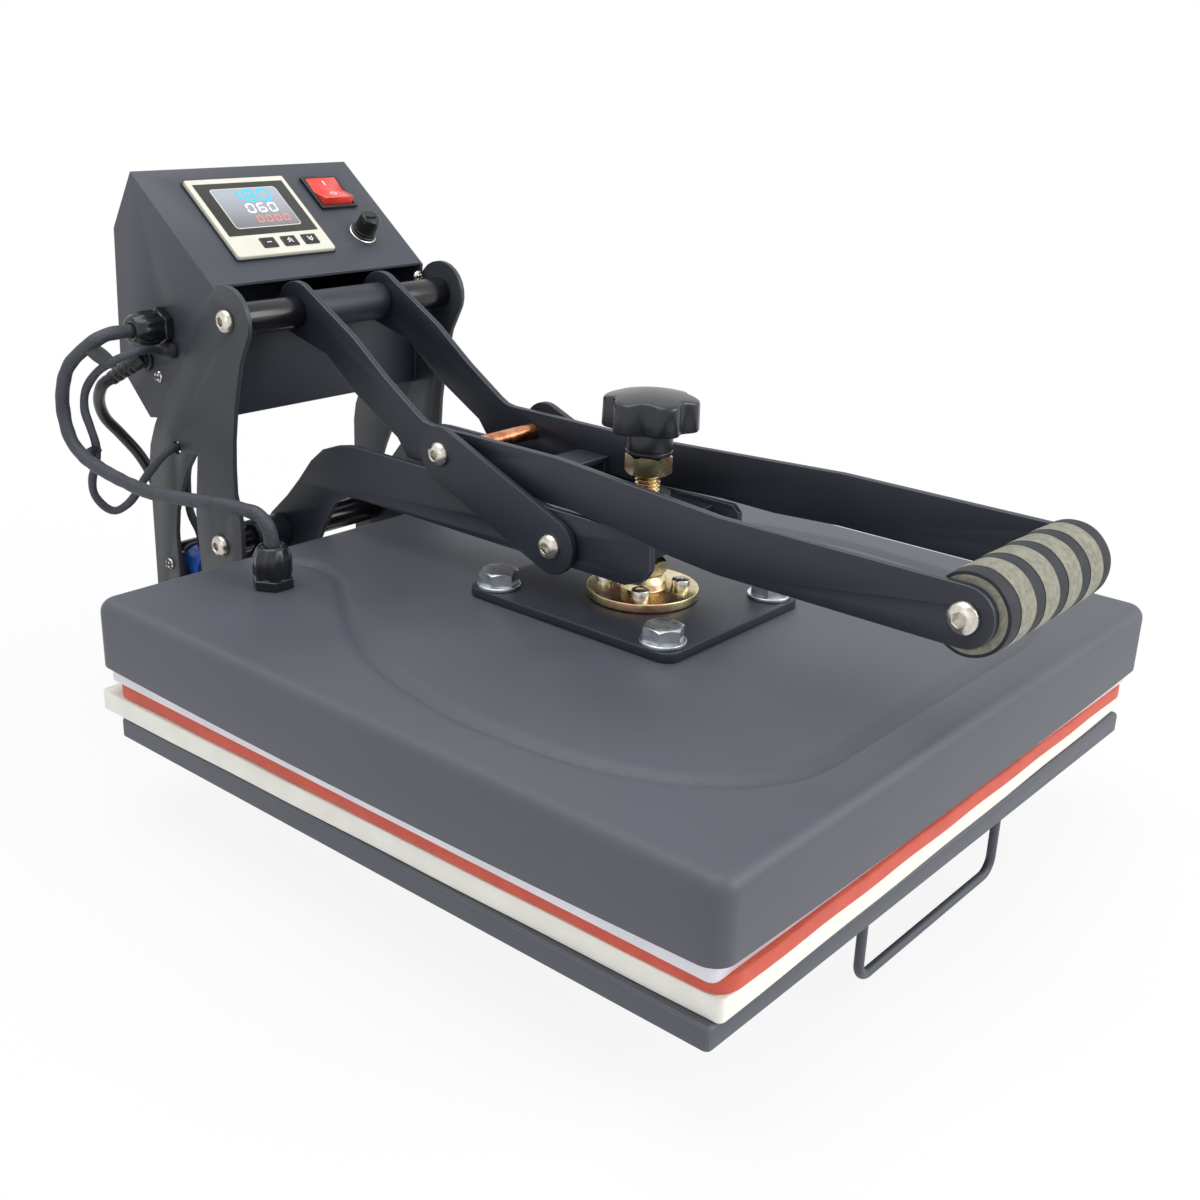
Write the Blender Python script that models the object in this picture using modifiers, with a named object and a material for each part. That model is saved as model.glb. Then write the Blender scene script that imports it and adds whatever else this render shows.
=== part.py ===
"""Clamshell heat press with a square 40 x 40 cm platen and a pull-out drawer, at rest and closed.

Metres, +Z up, the user's side at -Y, X to the user's right. The origin lies under the middle of the
press, on the bench. Inside the press, places are counted from the datum: the middle of the platen,
on the lower edge of the drawer tray. Sheet parts are outlines in the press's side view (Y back, Z up)
that take their thickness along X.
"""
import math

import bmesh
import bpy
from mathutils import Euler, Matrix, Vector

# Driving sizes
PLATEN_SIZE = 0.400
FIT = 0.0003
OVERRUN = 0.002

# The stack from the bench up
FOOT_HEIGHT = 0.0077
BASE_TUBE_HEIGHT = 0.030
SLIDE_SPACE = 0.012
TRAY_HEIGHT = 0.011
PAD_THICKNESS = 0.0117
MAT_THICKNESS = 0.0077
PLATEN_THICKNESS = 0.016
PLATEN_SHOW = 0.0092
COVER_HEIGHT = 0.0378

BASE_TOP = -SLIDE_SPACE
BASE_UNDER = BASE_TOP - BASE_TUBE_HEIGHT
BENCH = BASE_UNDER - FIT - FOOT_HEIGHT
PAD_UNDER = TRAY_HEIGHT + FIT
MAT_UNDER = PAD_UNDER + PAD_THICKNESS + FIT
PLATEN_UNDER = MAT_UNDER + MAT_THICKNESS + FIT
PLATEN_TOP = PLATEN_UNDER + PLATEN_THICKNESS
COVER_UNDER = PLATEN_UNDER + PLATEN_SHOW
COVER_TOP = COVER_UNDER + COVER_HEIGHT

# The cover's plan
COVER_SIDE_MARGIN = 0.004
COVER_END_MARGIN = 0.0075
COVER_WIDTH = PLATEN_SIZE + 2 * COVER_SIDE_MARGIN
COVER_DEPTH = PLATEN_SIZE + 2 * COVER_END_MARGIN

# Side view of the linkage: carrier pivot, handle pivot, the link's two ends and the grip
CARRIER_PIVOT_BEHIND_COVER = 0.0493
CARRIER_PIVOT_DROP = 0.0109
HANDLE_PIVOT_LEAD = 0.0173
HANDLE_PIVOT_RISE = 0.1394
SCREW_LEAD = 0.004
LINK_BEHIND_SCREW = 0.028
LINK_ABOVE_COVER = 0.0362
LINK_RUN = 0.0835
LINK_RISE = 0.0332
GRIP_LEAD = 0.0095
GRIP_ABOVE_COVER = 0.067

CARRIER_PIVOT = Vector((0, COVER_DEPTH / 2 + CARRIER_PIVOT_BEHIND_COVER, COVER_TOP - CARRIER_PIVOT_DROP))
HANDLE_PIVOT = CARRIER_PIVOT + Vector((0, -HANDLE_PIVOT_LEAD, HANDLE_PIVOT_RISE))
SCREW_FOOT = Vector((0, -SCREW_LEAD, COVER_TOP))
LINK_FOOT = SCREW_FOOT + Vector((0, LINK_BEHIND_SCREW, LINK_ABOVE_COVER))
LINK_HEAD = LINK_FOOT + Vector((0, LINK_RUN, LINK_RISE))
GRIP = Vector((0, -COVER_DEPTH / 2 - GRIP_LEAD, COVER_TOP + GRIP_ABOVE_COVER))

# Layers across the press, from the middle out: handle arms, carrier plates, links, uprights
ARM_INNER = 0.031
ARM_SHEET = 0.004
CARRIER_SHEET = 0.004
LINK_SHEET = 0.004
LAYER_GAP = 0.001
UPRIGHT_OUTER = 0.0855
UPRIGHT_SHEET = 0.003

ARM_OUTER = ARM_INNER + ARM_SHEET
CARRIER_INNER = ARM_OUTER + LAYER_GAP
CARRIER_OUTER = CARRIER_INNER + CARRIER_SHEET
LINK_INNER = CARRIER_OUTER + LAYER_GAP
UPRIGHT_INNER = UPRIGHT_OUTER - UPRIGHT_SHEET

# Button-head bolts on the pivots
BOLT_RADIUS = 0.004
BOLT_HEAD_RADIUS = 0.007
BOLT_HEAD_HEIGHT = 0.0044
BOLT_CROWN_SHARE = 0.62
BOLT_RIM_SHARE = 0.4

# The control box in the side view
BOX_SIDE_GAP = 0.0005
BOX_SHEET = 0.0015
PANEL_BEHIND_HANDLE_PIVOT = 0.0151
PANEL_ABOVE_HANDLE_PIVOT = 0.0164
PANEL_SLOPE = math.radians(37.6)
PANEL_LENGTH = 0.0964
LIP_HEIGHT = 0.0317
LIP_LEAN = 0.0039
TRAY_FRONT_SETBACK = 0.0074
TRAY_FRONT_HEIGHT = 0.047
SHOULDER_RUN = 0.0222
SHOULDER_DROP = 0.0348
BACK_LEAN = 0.0046
BACK_HEIGHT = 0.0852
HEEL_RUN = 0.0288
HEEL_DROP = 0.0284

BOX_HALF = UPRIGHT_INNER - BOX_SIDE_GAP
PANEL_FOOT = HANDLE_PIVOT + Vector((0, PANEL_BEHIND_HANDLE_PIVOT, PANEL_ABOVE_HANDLE_PIVOT))
PANEL_HEAD = PANEL_FOOT + PANEL_LENGTH * Vector((0, math.cos(PANEL_SLOPE), math.sin(PANEL_SLOPE)))
BOX_SHOULDER = PANEL_HEAD + Vector((0, SHOULDER_RUN, -SHOULDER_DROP))
BOX_BACK = BOX_SHOULDER + Vector((0, BACK_LEAN, -BACK_HEIGHT))
BOX_HEEL = BOX_BACK + Vector((0, -HEEL_RUN, -HEEL_DROP))
LIP_FOOT = PANEL_FOOT + Vector((0, LIP_LEAN, -LIP_HEIGHT))
BOX_TOE = PANEL_FOOT + Vector((0, TRAY_FRONT_SETBACK, -LIP_HEIGHT - TRAY_FRONT_HEIGHT))

# The foam grip reaches furthest forward and the box's back furthest to the rear
FOAM_RADIUS = 0.0195
DATUM = Vector((0, -(GRIP.y - FOAM_RADIUS + BOX_BACK.y) / 2, -BENCH))

# Roundness of turned pieces, arcs and holes, and the distance that welds two points
TURN_STEPS = 32
SMALL_STEPS = 16
ARC_POINTS = 10
HEXAGON = 6
WELD = 0.00002

TO_RIGHT = Euler((0, math.pi / 2, 0))
TO_LEFT = Euler((0, -math.pi / 2, 0))
SIDE_VIEW = Euler((math.pi / 2, 0, math.pi / 2))
FRONT_VIEW = Euler((math.pi / 2, 0, 0))
TO_REAR = Euler((-math.pi / 2, 0, 0))
SIDES = (("left", -1), ("right", 1))

for leftover in list(bpy.data.objects):
    bpy.data.objects.remove(leftover)

press = bpy.data.collections.new("heat_press")
cutters = bpy.data.collections.new("cutters")
bpy.context.scene.collection.children.link(press)
bpy.context.scene.collection.children.link(cutters)


def finish(name, colour, roughness, metallic=0.0):
    """A material with one colour, given in linear red, green and blue."""
    material = bpy.data.materials.new(name)
    material.use_nodes = True
    shader = material.node_tree.nodes["Principled BSDF"]
    shader.inputs["Base Color"].default_value = (*colour, 1.0)
    shader.inputs["Roughness"].default_value = roughness
    shader.inputs["Metallic"].default_value = metallic
    material.diffuse_color = (*colour, 1.0)
    return material


CHARCOAL = finish("charcoal powder coat", (0.085, 0.088, 0.098), 0.55)
BLACK_COAT = finish("black powder coat", (0.035, 0.038, 0.048), 0.5)
GLOSS_BLACK = finish("gloss black enamel", (0.012, 0.012, 0.014), 0.2)
BLACK_PLASTIC = finish("black plastic", (0.015, 0.015, 0.016), 0.35)
RUBBER = finish("black rubber", (0.02, 0.02, 0.02), 0.8)
BRIGHT_STEEL = finish("nickel-plated steel", (0.6, 0.58, 0.54), 0.25, 1.0)
ZINC = finish("zinc-plated steel", (0.5, 0.52, 0.55), 0.35, 1.0)
YELLOW_ZINC = finish("yellow zinc", (0.62, 0.47, 0.2), 0.3, 1.0)
COPPER = finish("copper-toned steel", (0.45, 0.22, 0.1), 0.4, 1.0)
CREAM_BOARD = finish("cream foam board", (0.9, 0.89, 0.76), 0.9)
RED_SILICONE = finish("red silicone", (0.67, 0.15, 0.1), 0.7)
PALE_ALUMINIUM = finish("pale coated aluminium", (0.78, 0.77, 0.82), 0.45, 0.3)
GLASS_WOOL = finish("glass wool", (0.75, 0.72, 0.55), 0.95)
OLIVE_FOAM = finish("olive foam", (0.33, 0.34, 0.27), 0.9)
CREAM_PLASTIC = finish("cream plastic", (0.78, 0.77, 0.68), 0.4)
RED_PLASTIC = finish("red plastic", (0.75, 0.03, 0.03), 0.3)
BLUE_TAPE = finish("blue winding tape", (0.03, 0.1, 0.55), 0.4)
SLEEVE = finish("grey-black sleeve", (0.05, 0.05, 0.055), 0.6)

places = {}


def group(name, place, parent=None):
    """An empty at a joint or a seat. Its place is counted from the datum."""
    empty = bpy.data.objects.new(name, None)
    press.objects.link(empty)
    places[empty] = Vector(place)
    empty.parent = parent
    empty.location = places[empty] - places[parent] if parent else DATUM
    return empty


def put(thing, parent, place, turn=None):
    """Parents a piece to an empty that isn't turned, at a place counted from the datum."""
    thing.parent = parent
    thing.location = Vector(place) - places[parent]
    if turn:
        thing.rotation_euler = turn
    return thing


def fix(thing, parent, place, turn=None):
    """Parents a piece at a place counted from its parent."""
    thing.parent = parent
    thing.location = place
    if turn:
        thing.rotation_euler = turn
    return thing


def add(name, data, material, collection=press):
    thing = bpy.data.objects.new(name, data)
    collection.objects.link(thing)
    if material:
        data.materials.append(material)
    return thing


def arc(across, up, radius, start, end, count=ARC_POINTS):
    """Points of an arc from one angle to another, in degrees, both ends included."""
    turns = [math.radians(start + (end - start) * i / (count - 1)) for i in range(count)]
    return [(across + radius * math.cos(t), up + radius * math.sin(t)) for t in turns]


def circle(across, up, radius, count=SMALL_STEPS):
    return arc(across, up, radius, 0, 360 - 360 / count, count)


def scaled(shares, width, height):
    return [(across * width, up * height) for across, up in shares]


def rounded_rectangle(width, depth, radius, count=5):
    across, along = width / 2 - radius, depth / 2 - radius
    corners = ((across, along, 0), (-across, along, 90), (-across, -along, 180), (across, -along, 270))
    return [point for x, y, start in corners for point in arc(x, y, radius, start, start + 90, count)]


def rectangle(left, right, low, high):
    return [(left, low), (right, low), (right, high), (left, high)]


def strap_outline(start, start_radius, end, end_radius):
    """Two round ends and the straight edges that touch both."""
    along = Vector(end) - Vector(start)
    heading = math.degrees(math.atan2(along.y, along.x))
    lean = math.degrees(math.asin((start_radius - end_radius) / along.length))
    far = arc(*end, end_radius, heading - 90 + lean, heading + 90 - lean)
    near = arc(*start, start_radius, heading + 90 - lean, heading + 270 + lean)
    return far + near


def side(place):
    """A place's Y and Z, as a point of the side view."""
    return place.y, place.z


def flat(name, outline, holes, thickness, material, collection=press):
    """A sheet part: an outline with its holes, given half its thickness to each side."""
    data = bpy.data.curves.new(name, "CURVE")
    data.dimensions = "2D"
    data.fill_mode = "BOTH"
    data.extrude = thickness / 2
    for points in [outline] + holes:
        spline = data.splines.new("POLY")
        spline.points.add(len(points) - 1)
        for point, (across, up) in zip(spline.points, points):
            point.co = (across, up, 0, 1)
        spline.use_cyclic_u = True
    return add(name, data, material, collection)


def as_mesh(thing):
    """Turns a curve object into a welded mesh object, which a Boolean can take."""
    view = bpy.context.evaluated_depsgraph_get()
    data = bpy.data.meshes.new_from_object(thing.evaluated_get(view))
    shape = bmesh.new()
    shape.from_mesh(data)
    bmesh.ops.remove_doubles(shape, verts=shape.verts, dist=WELD)
    bmesh.ops.recalc_face_normals(shape, faces=shape.faces)
    shape.to_mesh(data)
    shape.free()
    name, home = thing.name, thing.users_collection[0]
    bpy.data.objects.remove(thing)
    solid = bpy.data.objects.new(name, data)
    home.objects.link(solid)
    return solid


def turned(name, profile, material, steps=TURN_STEPS, hollow=False, collection=press):
    """A turned piece about Z: a profile of radius and height that runs down its outer side."""
    data = bpy.data.meshes.new(name)
    shape = bmesh.new()
    corners = [shape.verts.new((radius, 0, height)) for radius, height in profile]
    ends = corners[1:] + corners[:1] if hollow else corners[1:]
    for here, there in zip(corners, ends):
        shape.edges.new((here, there))
    shape.to_mesh(data)
    shape.free()
    thing = add(name, data, material, collection)
    screw = thing.modifiers.new("turn", "SCREW")
    screw.steps = steps
    screw.render_steps = steps
    screw.use_merge_vertices = True
    screw.merge_threshold = WELD
    return thing


def ring(name, outer, inner, low, high, material, steps=TURN_STEPS):
    profile = [(outer, high), (outer, low), (inner, low), (inner, high)]
    return turned(name, profile, material, steps, hollow=True)


def column(radius, height):
    """The profile of a plain round piece that stands on height 0."""
    return [(0, height), (radius, height), (radius, 0), (0, 0)]


def both_ends(half):
    """A turned profile from its outer half, which ends at the middle of the piece."""
    return half + [(radius, -height) for radius, height in reversed(half)]


def bolt_end(outer_face, shank_end, shank=BOLT_RADIUS):
    """A button head outside a sheet's face, and its shank down to a height."""
    crown = outer_face + FIT + BOLT_HEAD_HEIGHT
    return [
        (0, crown),
        (BOLT_CROWN_SHARE * BOLT_HEAD_RADIUS, crown),
        (BOLT_HEAD_RADIUS, outer_face + FIT + BOLT_RIM_SHARE * BOLT_HEAD_HEIGHT),
        (BOLT_HEAD_RADIUS, outer_face + FIT),
        (shank, outer_face + FIT),
        (shank, shank_end),
    ]


def rod(name, radius, length, steps=TURN_STEPS, tip=None):
    """A cylinder, a cone or, with 6 steps, a hexagonal bar along Z, from 0 up to its length."""
    data = bpy.data.meshes.new(name)
    shape = bmesh.new()
    bmesh.ops.create_cone(
        shape, cap_ends=True, segments=steps, radius1=radius, radius2=tip or radius, depth=length,
        matrix=Matrix.Translation((0, 0, length / 2)),
    )
    shape.to_mesh(data)
    shape.free()
    return add(name, data, None, cutters)


def block(name, size, material=None, rounding=0, collection=cutters):
    """A box about its middle, with its edges rounded where a radius is given."""
    data = bpy.data.meshes.new(name)
    shape = bmesh.new()
    bmesh.ops.create_cube(shape, size=1)
    bmesh.ops.scale(shape, vec=size, verts=shape.verts)
    if rounding:
        bmesh.ops.bevel(shape, geom=shape.edges, offset=rounding, segments=2, affect="EDGES", profile=0.5)
    shape.to_mesh(data)
    shape.free()
    return add(name, data, material, collection)


def hood(name, width, depth, height, rounding, material=None, collection=cutters):
    """A block hung from height 0, with every edge rounded but those of its underside."""
    data = bpy.data.meshes.new(name)
    shape = bmesh.new()
    bmesh.ops.create_cube(shape, size=1)
    bmesh.ops.scale(shape, vec=(width, depth, height), verts=shape.verts)
    bmesh.ops.translate(shape, vec=(0, 0, -height / 2), verts=shape.verts)
    shape.normal_update()
    under = [face for face in shape.faces if face.normal.z < -0.5]
    bmesh.ops.delete(shape, geom=under, context="FACES_ONLY")
    folds = [edge for edge in shape.edges if not edge.is_boundary]
    bmesh.ops.bevel(shape, geom=folds, offset=rounding, segments=3, affect="EDGES", profile=0.5)
    bmesh.ops.holes_fill(shape, edges=[edge for edge in shape.edges if edge.is_boundary])
    bmesh.ops.recalc_face_normals(shape, faces=shape.faces)
    shape.to_mesh(data)
    shape.free()
    return add(name, data, material, collection)


def pan(name, width, depth, height, wall, rounding, material):
    """A sheet pan, open below, with its top at height 0."""
    body = hood(name, width, depth, height, rounding, material, press)
    hollow_height = height - wall + OVERRUN
    hollow = hood(f"{name}_hollow", width - 2 * wall, depth - 2 * wall, hollow_height, rounding - wall)
    return combine(body, "DIFFERENCE", fix(hollow, body, (0, 0, -wall)))


def meeting_point(one, other):
    """Where two lines of the plane, each given by two points, cross."""
    along, across = one[1] - one[0], other[1] - other[0]
    share = (other[0] - one[0]).cross(across) / along.cross(across)
    return tuple(one[0] + share * along)


def inset_outline(outline, insets):
    """An outline, drawn counterclockwise, whose edges are each moved inward by their own distance."""
    corners = [Vector(point) for point in outline]
    lines = []
    for here, there, distance in zip(corners, corners[1:] + corners[:1], insets):
        along = (there - here).normalized()
        shift = distance * Vector((-along.y, along.x))
        lines.append((here + shift, there + shift))
    return [meeting_point(before, after) for before, after in zip(lines[-1:] + lines[:-1], lines)]


def folded(name, outline, half_width, open_edges, wall, material):
    """Folded sheet: a solid of the outline less its inside, which runs out through the open edges."""
    insets = [-OVERRUN if i in open_edges else wall for i in range(len(outline))]
    body = as_mesh(flat(name, outline, [], 2 * half_width, material))
    inside = flat(f"{name}_hollow", inset_outline(outline, insets), [], 2 * (half_width - wall), None, cutters)
    return combine(body, "DIFFERENCE", fix(as_mesh(inside), body, (0, 0, 0)))


def combine(body, operation, tool):
    """Joins another solid to a body, or cuts it away. The tool stays as a hidden guide."""
    step = body.modifiers.new(operation.lower(), "BOOLEAN")
    step.operation = operation
    step.solver = "EXACT"
    step.object = tool
    if tool.users_collection[0] != cutters:
        tool.users_collection[0].objects.unlink(tool)
        cutters.objects.link(tool)
    tool.hide_render = True
    tool.display_type = "WIRE"
    return body


def tube(name, points, radius, material, sides=2):
    data = bpy.data.curves.new(name, "CURVE")
    data.dimensions = "3D"
    data.bevel_depth = radius
    data.bevel_resolution = sides
    data.use_fill_caps = True
    spline = data.splines.new("POLY")
    spline.points.add(len(points) - 1)
    for place, point in zip(spline.points, points):
        place.co = (*point, 1)
    return add(name, data, material)


def smooth_route(route, step):
    """Points about a step apart on a smooth curve through a route, straight in its first and last stretch."""
    knots = [Vector(point) for point in route]
    fine = []
    for a, b, c, d in zip(knots, knots[1:], knots[2:], knots[3:]):
        for i in range(ROUTE_PIECES):
            t = i / ROUTE_PIECES
            bend = (2 * a - 5 * b + 4 * c - d) * t**2 + (3 * b - a - 3 * c + d) * t**3
            fine.append(b + ((c - a) * t + bend) / 2)
    fine.append(knots[-2])
    lengths = [0]
    for here, there in zip(fine, fine[1:]):
        lengths.append(lengths[-1] + (there - here).length)
    count = max(2, round(lengths[-1] / step))
    points = []
    i = 0
    for k in range(count):
        goal = lengths[-1] * k / count
        while lengths[i + 1] < goal:
            i += 1
        points.append(fine[i].lerp(fine[i + 1], (goal - lengths[i]) / (lengths[i + 1] - lengths[i])))
    return [knots[0]] + points + [fine[-1], knots[-1]]


ROUTE_PIECES = 12

frame_seat = group("frame_seat", (0, 0, 0))


# Base frame of welded square tube, in plan: two rails, a front bar and two bars under the uprights
BASE_HALF_WIDTH = 0.116
BASE_TUBE_WIDTH = 0.020
BASE_SETBACK = 0.050
SEAT_BAR = 0.030
SEAT_MARGIN = 0.0086
UPRIGHT_DEPTH = 0.073
UPRIGHT_TOE = 0.0202

BASE_FRONT = -PLATEN_SIZE / 2 + BASE_SETBACK
BASE_REAR = CARRIER_PIVOT.y + UPRIGHT_DEPTH
SEAT_FRONT = CARRIER_PIVOT.y - UPRIGHT_TOE - SEAT_MARGIN
BASE_MIDDLE = (BASE_TOP + BASE_UNDER) / 2
bay = BASE_HALF_WIDTH - BASE_TUBE_WIDTH
base_frame = flat(
    "base_frame",
    rectangle(-BASE_HALF_WIDTH, BASE_HALF_WIDTH, BASE_FRONT, BASE_REAR),
    [
        rectangle(-bay, bay, BASE_FRONT + BASE_TUBE_WIDTH, SEAT_FRONT),
        rectangle(-bay, bay, SEAT_FRONT + SEAT_BAR, BASE_REAR - SEAT_BAR),
    ],
    BASE_TUBE_HEIGHT,
    BLACK_COAT,
)
put(base_frame, frame_seat, (0, 0, BASE_MIDDLE))

# Rubber feet under the rails
FOOT_RADIUS = 0.012
FOOT_NECK_RADIUS = 0.010
FOOT_INSET = 0.014
FOOT_PROFILE = [(0, FOOT_HEIGHT), (FOOT_NECK_RADIUS, FOOT_HEIGHT), (FOOT_RADIUS, 0), (0, 0)]
for end, foot_y in (("front", BASE_FRONT + FOOT_INSET), ("rear", BASE_REAR - FOOT_INSET)):
    for hand, sign in SIDES:
        foot = turned(f"{end}_{hand}_foot", FOOT_PROFILE, RUBBER)
        put(foot, frame_seat, (sign * (BASE_HALF_WIDTH - BASE_TUBE_WIDTH / 2), foot_y, BENCH))

# Drawer slides: a channel on the rail's outer face and a runner that hangs from the tray
SLIDE_LENGTH = 0.340
SLIDE_HEIGHT = 0.024
SLIDE_DEPTH = 0.0115
SLIDE_SHEET = 0.0012
SLIDE_PLAY = 0.0005
RUNNER_SHEET = 0.002
RUNNER_FLANGE = 0.016
TRAY_SHEET = 0.0015
SLIDE_X = BASE_HALF_WIDTH + FIT
SLIDE_Y = BASE_FRONT + SLIDE_LENGTH / 2
RUNNER_TOP = TRAY_HEIGHT - TRAY_SHEET - FIT - BASE_MIDDLE

drawer = group("drawer_travel", (0, 0, 0), frame_seat)
half = SLIDE_HEIGHT / 2
tongue = half - SLIDE_SHEET - SLIDE_PLAY
leg = SLIDE_DEPTH + SLIDE_PLAY
CHANNEL = [
    (0, -half),
    (SLIDE_DEPTH, -half),
    (SLIDE_DEPTH, -half + SLIDE_SHEET),
    (SLIDE_SHEET, -half + SLIDE_SHEET),
    (SLIDE_SHEET, half - SLIDE_SHEET),
    (SLIDE_DEPTH, half - SLIDE_SHEET),
    (SLIDE_DEPTH, half),
    (0, half),
]
RUNNER = [
    (SLIDE_SHEET + SLIDE_PLAY, -tongue),
    (leg + RUNNER_SHEET, -tongue),
    (leg + RUNNER_SHEET, RUNNER_TOP - RUNNER_SHEET),
    (leg + RUNNER_FLANGE, RUNNER_TOP - RUNNER_SHEET),
    (leg + RUNNER_FLANGE, RUNNER_TOP),
    (leg, RUNNER_TOP),
    (leg, tongue),
    (SLIDE_SHEET + SLIDE_PLAY, tongue),
]
for hand, sign in SIDES:
    channel = [(sign * across, up) for across, up in CHANNEL]
    runner = [(sign * across, up) for across, up in RUNNER]
    rail = flat(f"{hand}_slide_channel", channel, [], SLIDE_LENGTH, ZINC)
    put(rail, frame_seat, (sign * SLIDE_X, SLIDE_Y, BASE_MIDDLE), FRONT_VIEW)
    slider = flat(f"{hand}_slide_runner", runner, [], SLIDE_LENGTH, ZINC)
    put(slider, drawer, (sign * SLIDE_X, SLIDE_Y, BASE_MIDDLE), FRONT_VIEW)

# Drawer: a sheet tray, a foam board, a silicone mat and a bent rod to pull it by
TRAY_DEPTH_LESS = 0.002
TRAY_LEAD = 0.003
TRAY_ROUND = 0.0025
PAD_SIDE_MARGIN = 0.002
PAD_END_MARGIN = 0.008
MAT_INSET = 0.001
MAT_CORNER = 0.008
PULL_ROD_RADIUS = 0.0025
PULL_HALF_WIDTH = 0.067
PULL_SETBACK = 0.0075
PULL_DROP = 0.0395
PULL_BEND = 0.009
PULL_BEND_STEPS = 6

tray_front = -TRAY_LEAD - (PLATEN_SIZE - TRAY_DEPTH_LESS) / 2
tray_depth = PLATEN_SIZE - TRAY_DEPTH_LESS
tray = pan("drawer_tray", PLATEN_SIZE, tray_depth, TRAY_HEIGHT, TRAY_SHEET, TRAY_ROUND, CHARCOAL)
put(tray, drawer, (0, -TRAY_LEAD, TRAY_HEIGHT))

pad_width = PLATEN_SIZE + 2 * PAD_SIDE_MARGIN
pad_depth = PLATEN_SIZE + 2 * PAD_END_MARGIN
pad = block("foam_board", (pad_width, pad_depth, PAD_THICKNESS), CREAM_BOARD, collection=press)
put(pad, drawer, (0, 0, PAD_UNDER + PAD_THICKNESS / 2))

mat_outline = rounded_rectangle(pad_width - 2 * MAT_INSET, pad_depth - 2 * MAT_INSET, MAT_CORNER)
mat = flat("silicone_mat", mat_outline, [], MAT_THICKNESS, RED_SILICONE)
put(mat, drawer, (0, 0, MAT_UNDER + MAT_THICKNESS / 2))

pull_top = TRAY_HEIGHT - TRAY_SHEET - FIT
inner = PULL_HALF_WIDTH - PULL_BEND
pull_path = [(-PULL_HALF_WIDTH, pull_top)]
pull_path += arc(-inner, -PULL_DROP + PULL_BEND, PULL_BEND, 180, 270, PULL_BEND_STEPS)
pull_path += arc(inner, -PULL_DROP + PULL_BEND, PULL_BEND, 270, 360, PULL_BEND_STEPS)
pull_path += [(PULL_HALF_WIDTH, pull_top)]
pull = tube("pull_handle", [(across, 0, up) for across, up in pull_path], PULL_ROD_RADIUS, CHARCOAL, 3)
put(pull, drawer, (0, tray_front + TRAY_SHEET + PULL_SETBACK, 0))

# Uprights: sheet plates with a turned-in foot, a leaf-shaped window and the two pivot holes
UPRIGHT_ROUND = 0.020
UPRIGHT_ROUND_TURN = (41, 214)
PLATE_END_STEPS = 13
UPRIGHT_FOOT = 0.020
UPRIGHT_FOOT_INSET = 0.004
UPRIGHT_REAR_SHARES = (
    (1.0, 0.0), (0.981, 0.406), (0.977, 0.537), (0.945, 0.591),
    (0.858, 0.654), (0.738, 0.718), (0.084, 1.006),
)
UPRIGHT_FRONT_SHARES = (
    (-0.377, 0.894), (-0.327, 0.834), (-0.282, 0.773), (-0.233, 0.675), (-0.216, 0.6), (-0.214, 0.527),
    (-0.274, 0.451), (-0.277, 0.376), (-0.277, 0.0),
)
WINDOW_SHARES = (
    (0.263, 0.607), (0.296, 0.529), (0.336, 0.436), (0.332, 0.371),
    (0.314, 0.3), (0.311, 0.227), (0.373, 0.179),
    (0.482, 0.163), (0.585, 0.175), (0.642, 0.211), (0.653, 0.346),
    (0.619, 0.415), (0.544, 0.477), (0.445, 0.543),
    (0.311, 0.602),
)
MAGNET_LEAD_HOLE_SHARES = (0.555, 0.607)
MAGNET_SCREW_SHARES = (0.77, 0.243)
MAGNET_LEAD_HOLE_RADIUS = 0.0042
MAGNET_SCREW_RADIUS = 0.0015
UPRIGHT_SCREW_RADIUS = 0.005
UPRIGHT_SCREW_HEIGHT = 0.004

FOOT_TOP = BASE_TOP + FIT
upright_rise = HANDLE_PIVOT.z - FOOT_TOP
magnet_lead_hole = (MAGNET_LEAD_HOLE_SHARES[0] * UPRIGHT_DEPTH, MAGNET_LEAD_HOLE_SHARES[1] * upright_rise)
magnet_screw = (MAGNET_SCREW_SHARES[0] * UPRIGHT_DEPTH, MAGNET_SCREW_SHARES[1] * upright_rise)
upright_outline = (
    scaled(UPRIGHT_REAR_SHARES, UPRIGHT_DEPTH, upright_rise)
    + arc(-HANDLE_PIVOT_LEAD, upright_rise, UPRIGHT_ROUND, *UPRIGHT_ROUND_TURN, PLATE_END_STEPS)
    + scaled(UPRIGHT_FRONT_SHARES, UPRIGHT_DEPTH, upright_rise)
)
upright_holes = [
    circle(-HANDLE_PIVOT_LEAD, upright_rise, BOLT_RADIUS + FIT),
    circle(0, CARRIER_PIVOT.z - FOOT_TOP, BOLT_RADIUS + FIT),
    scaled(WINDOW_SHARES, UPRIGHT_DEPTH, upright_rise),
]
left_holes = [
    circle(*magnet_lead_hole, MAGNET_LEAD_HOLE_RADIUS),
    circle(*magnet_screw, MAGNET_SCREW_RADIUS + FIT),
]
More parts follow.
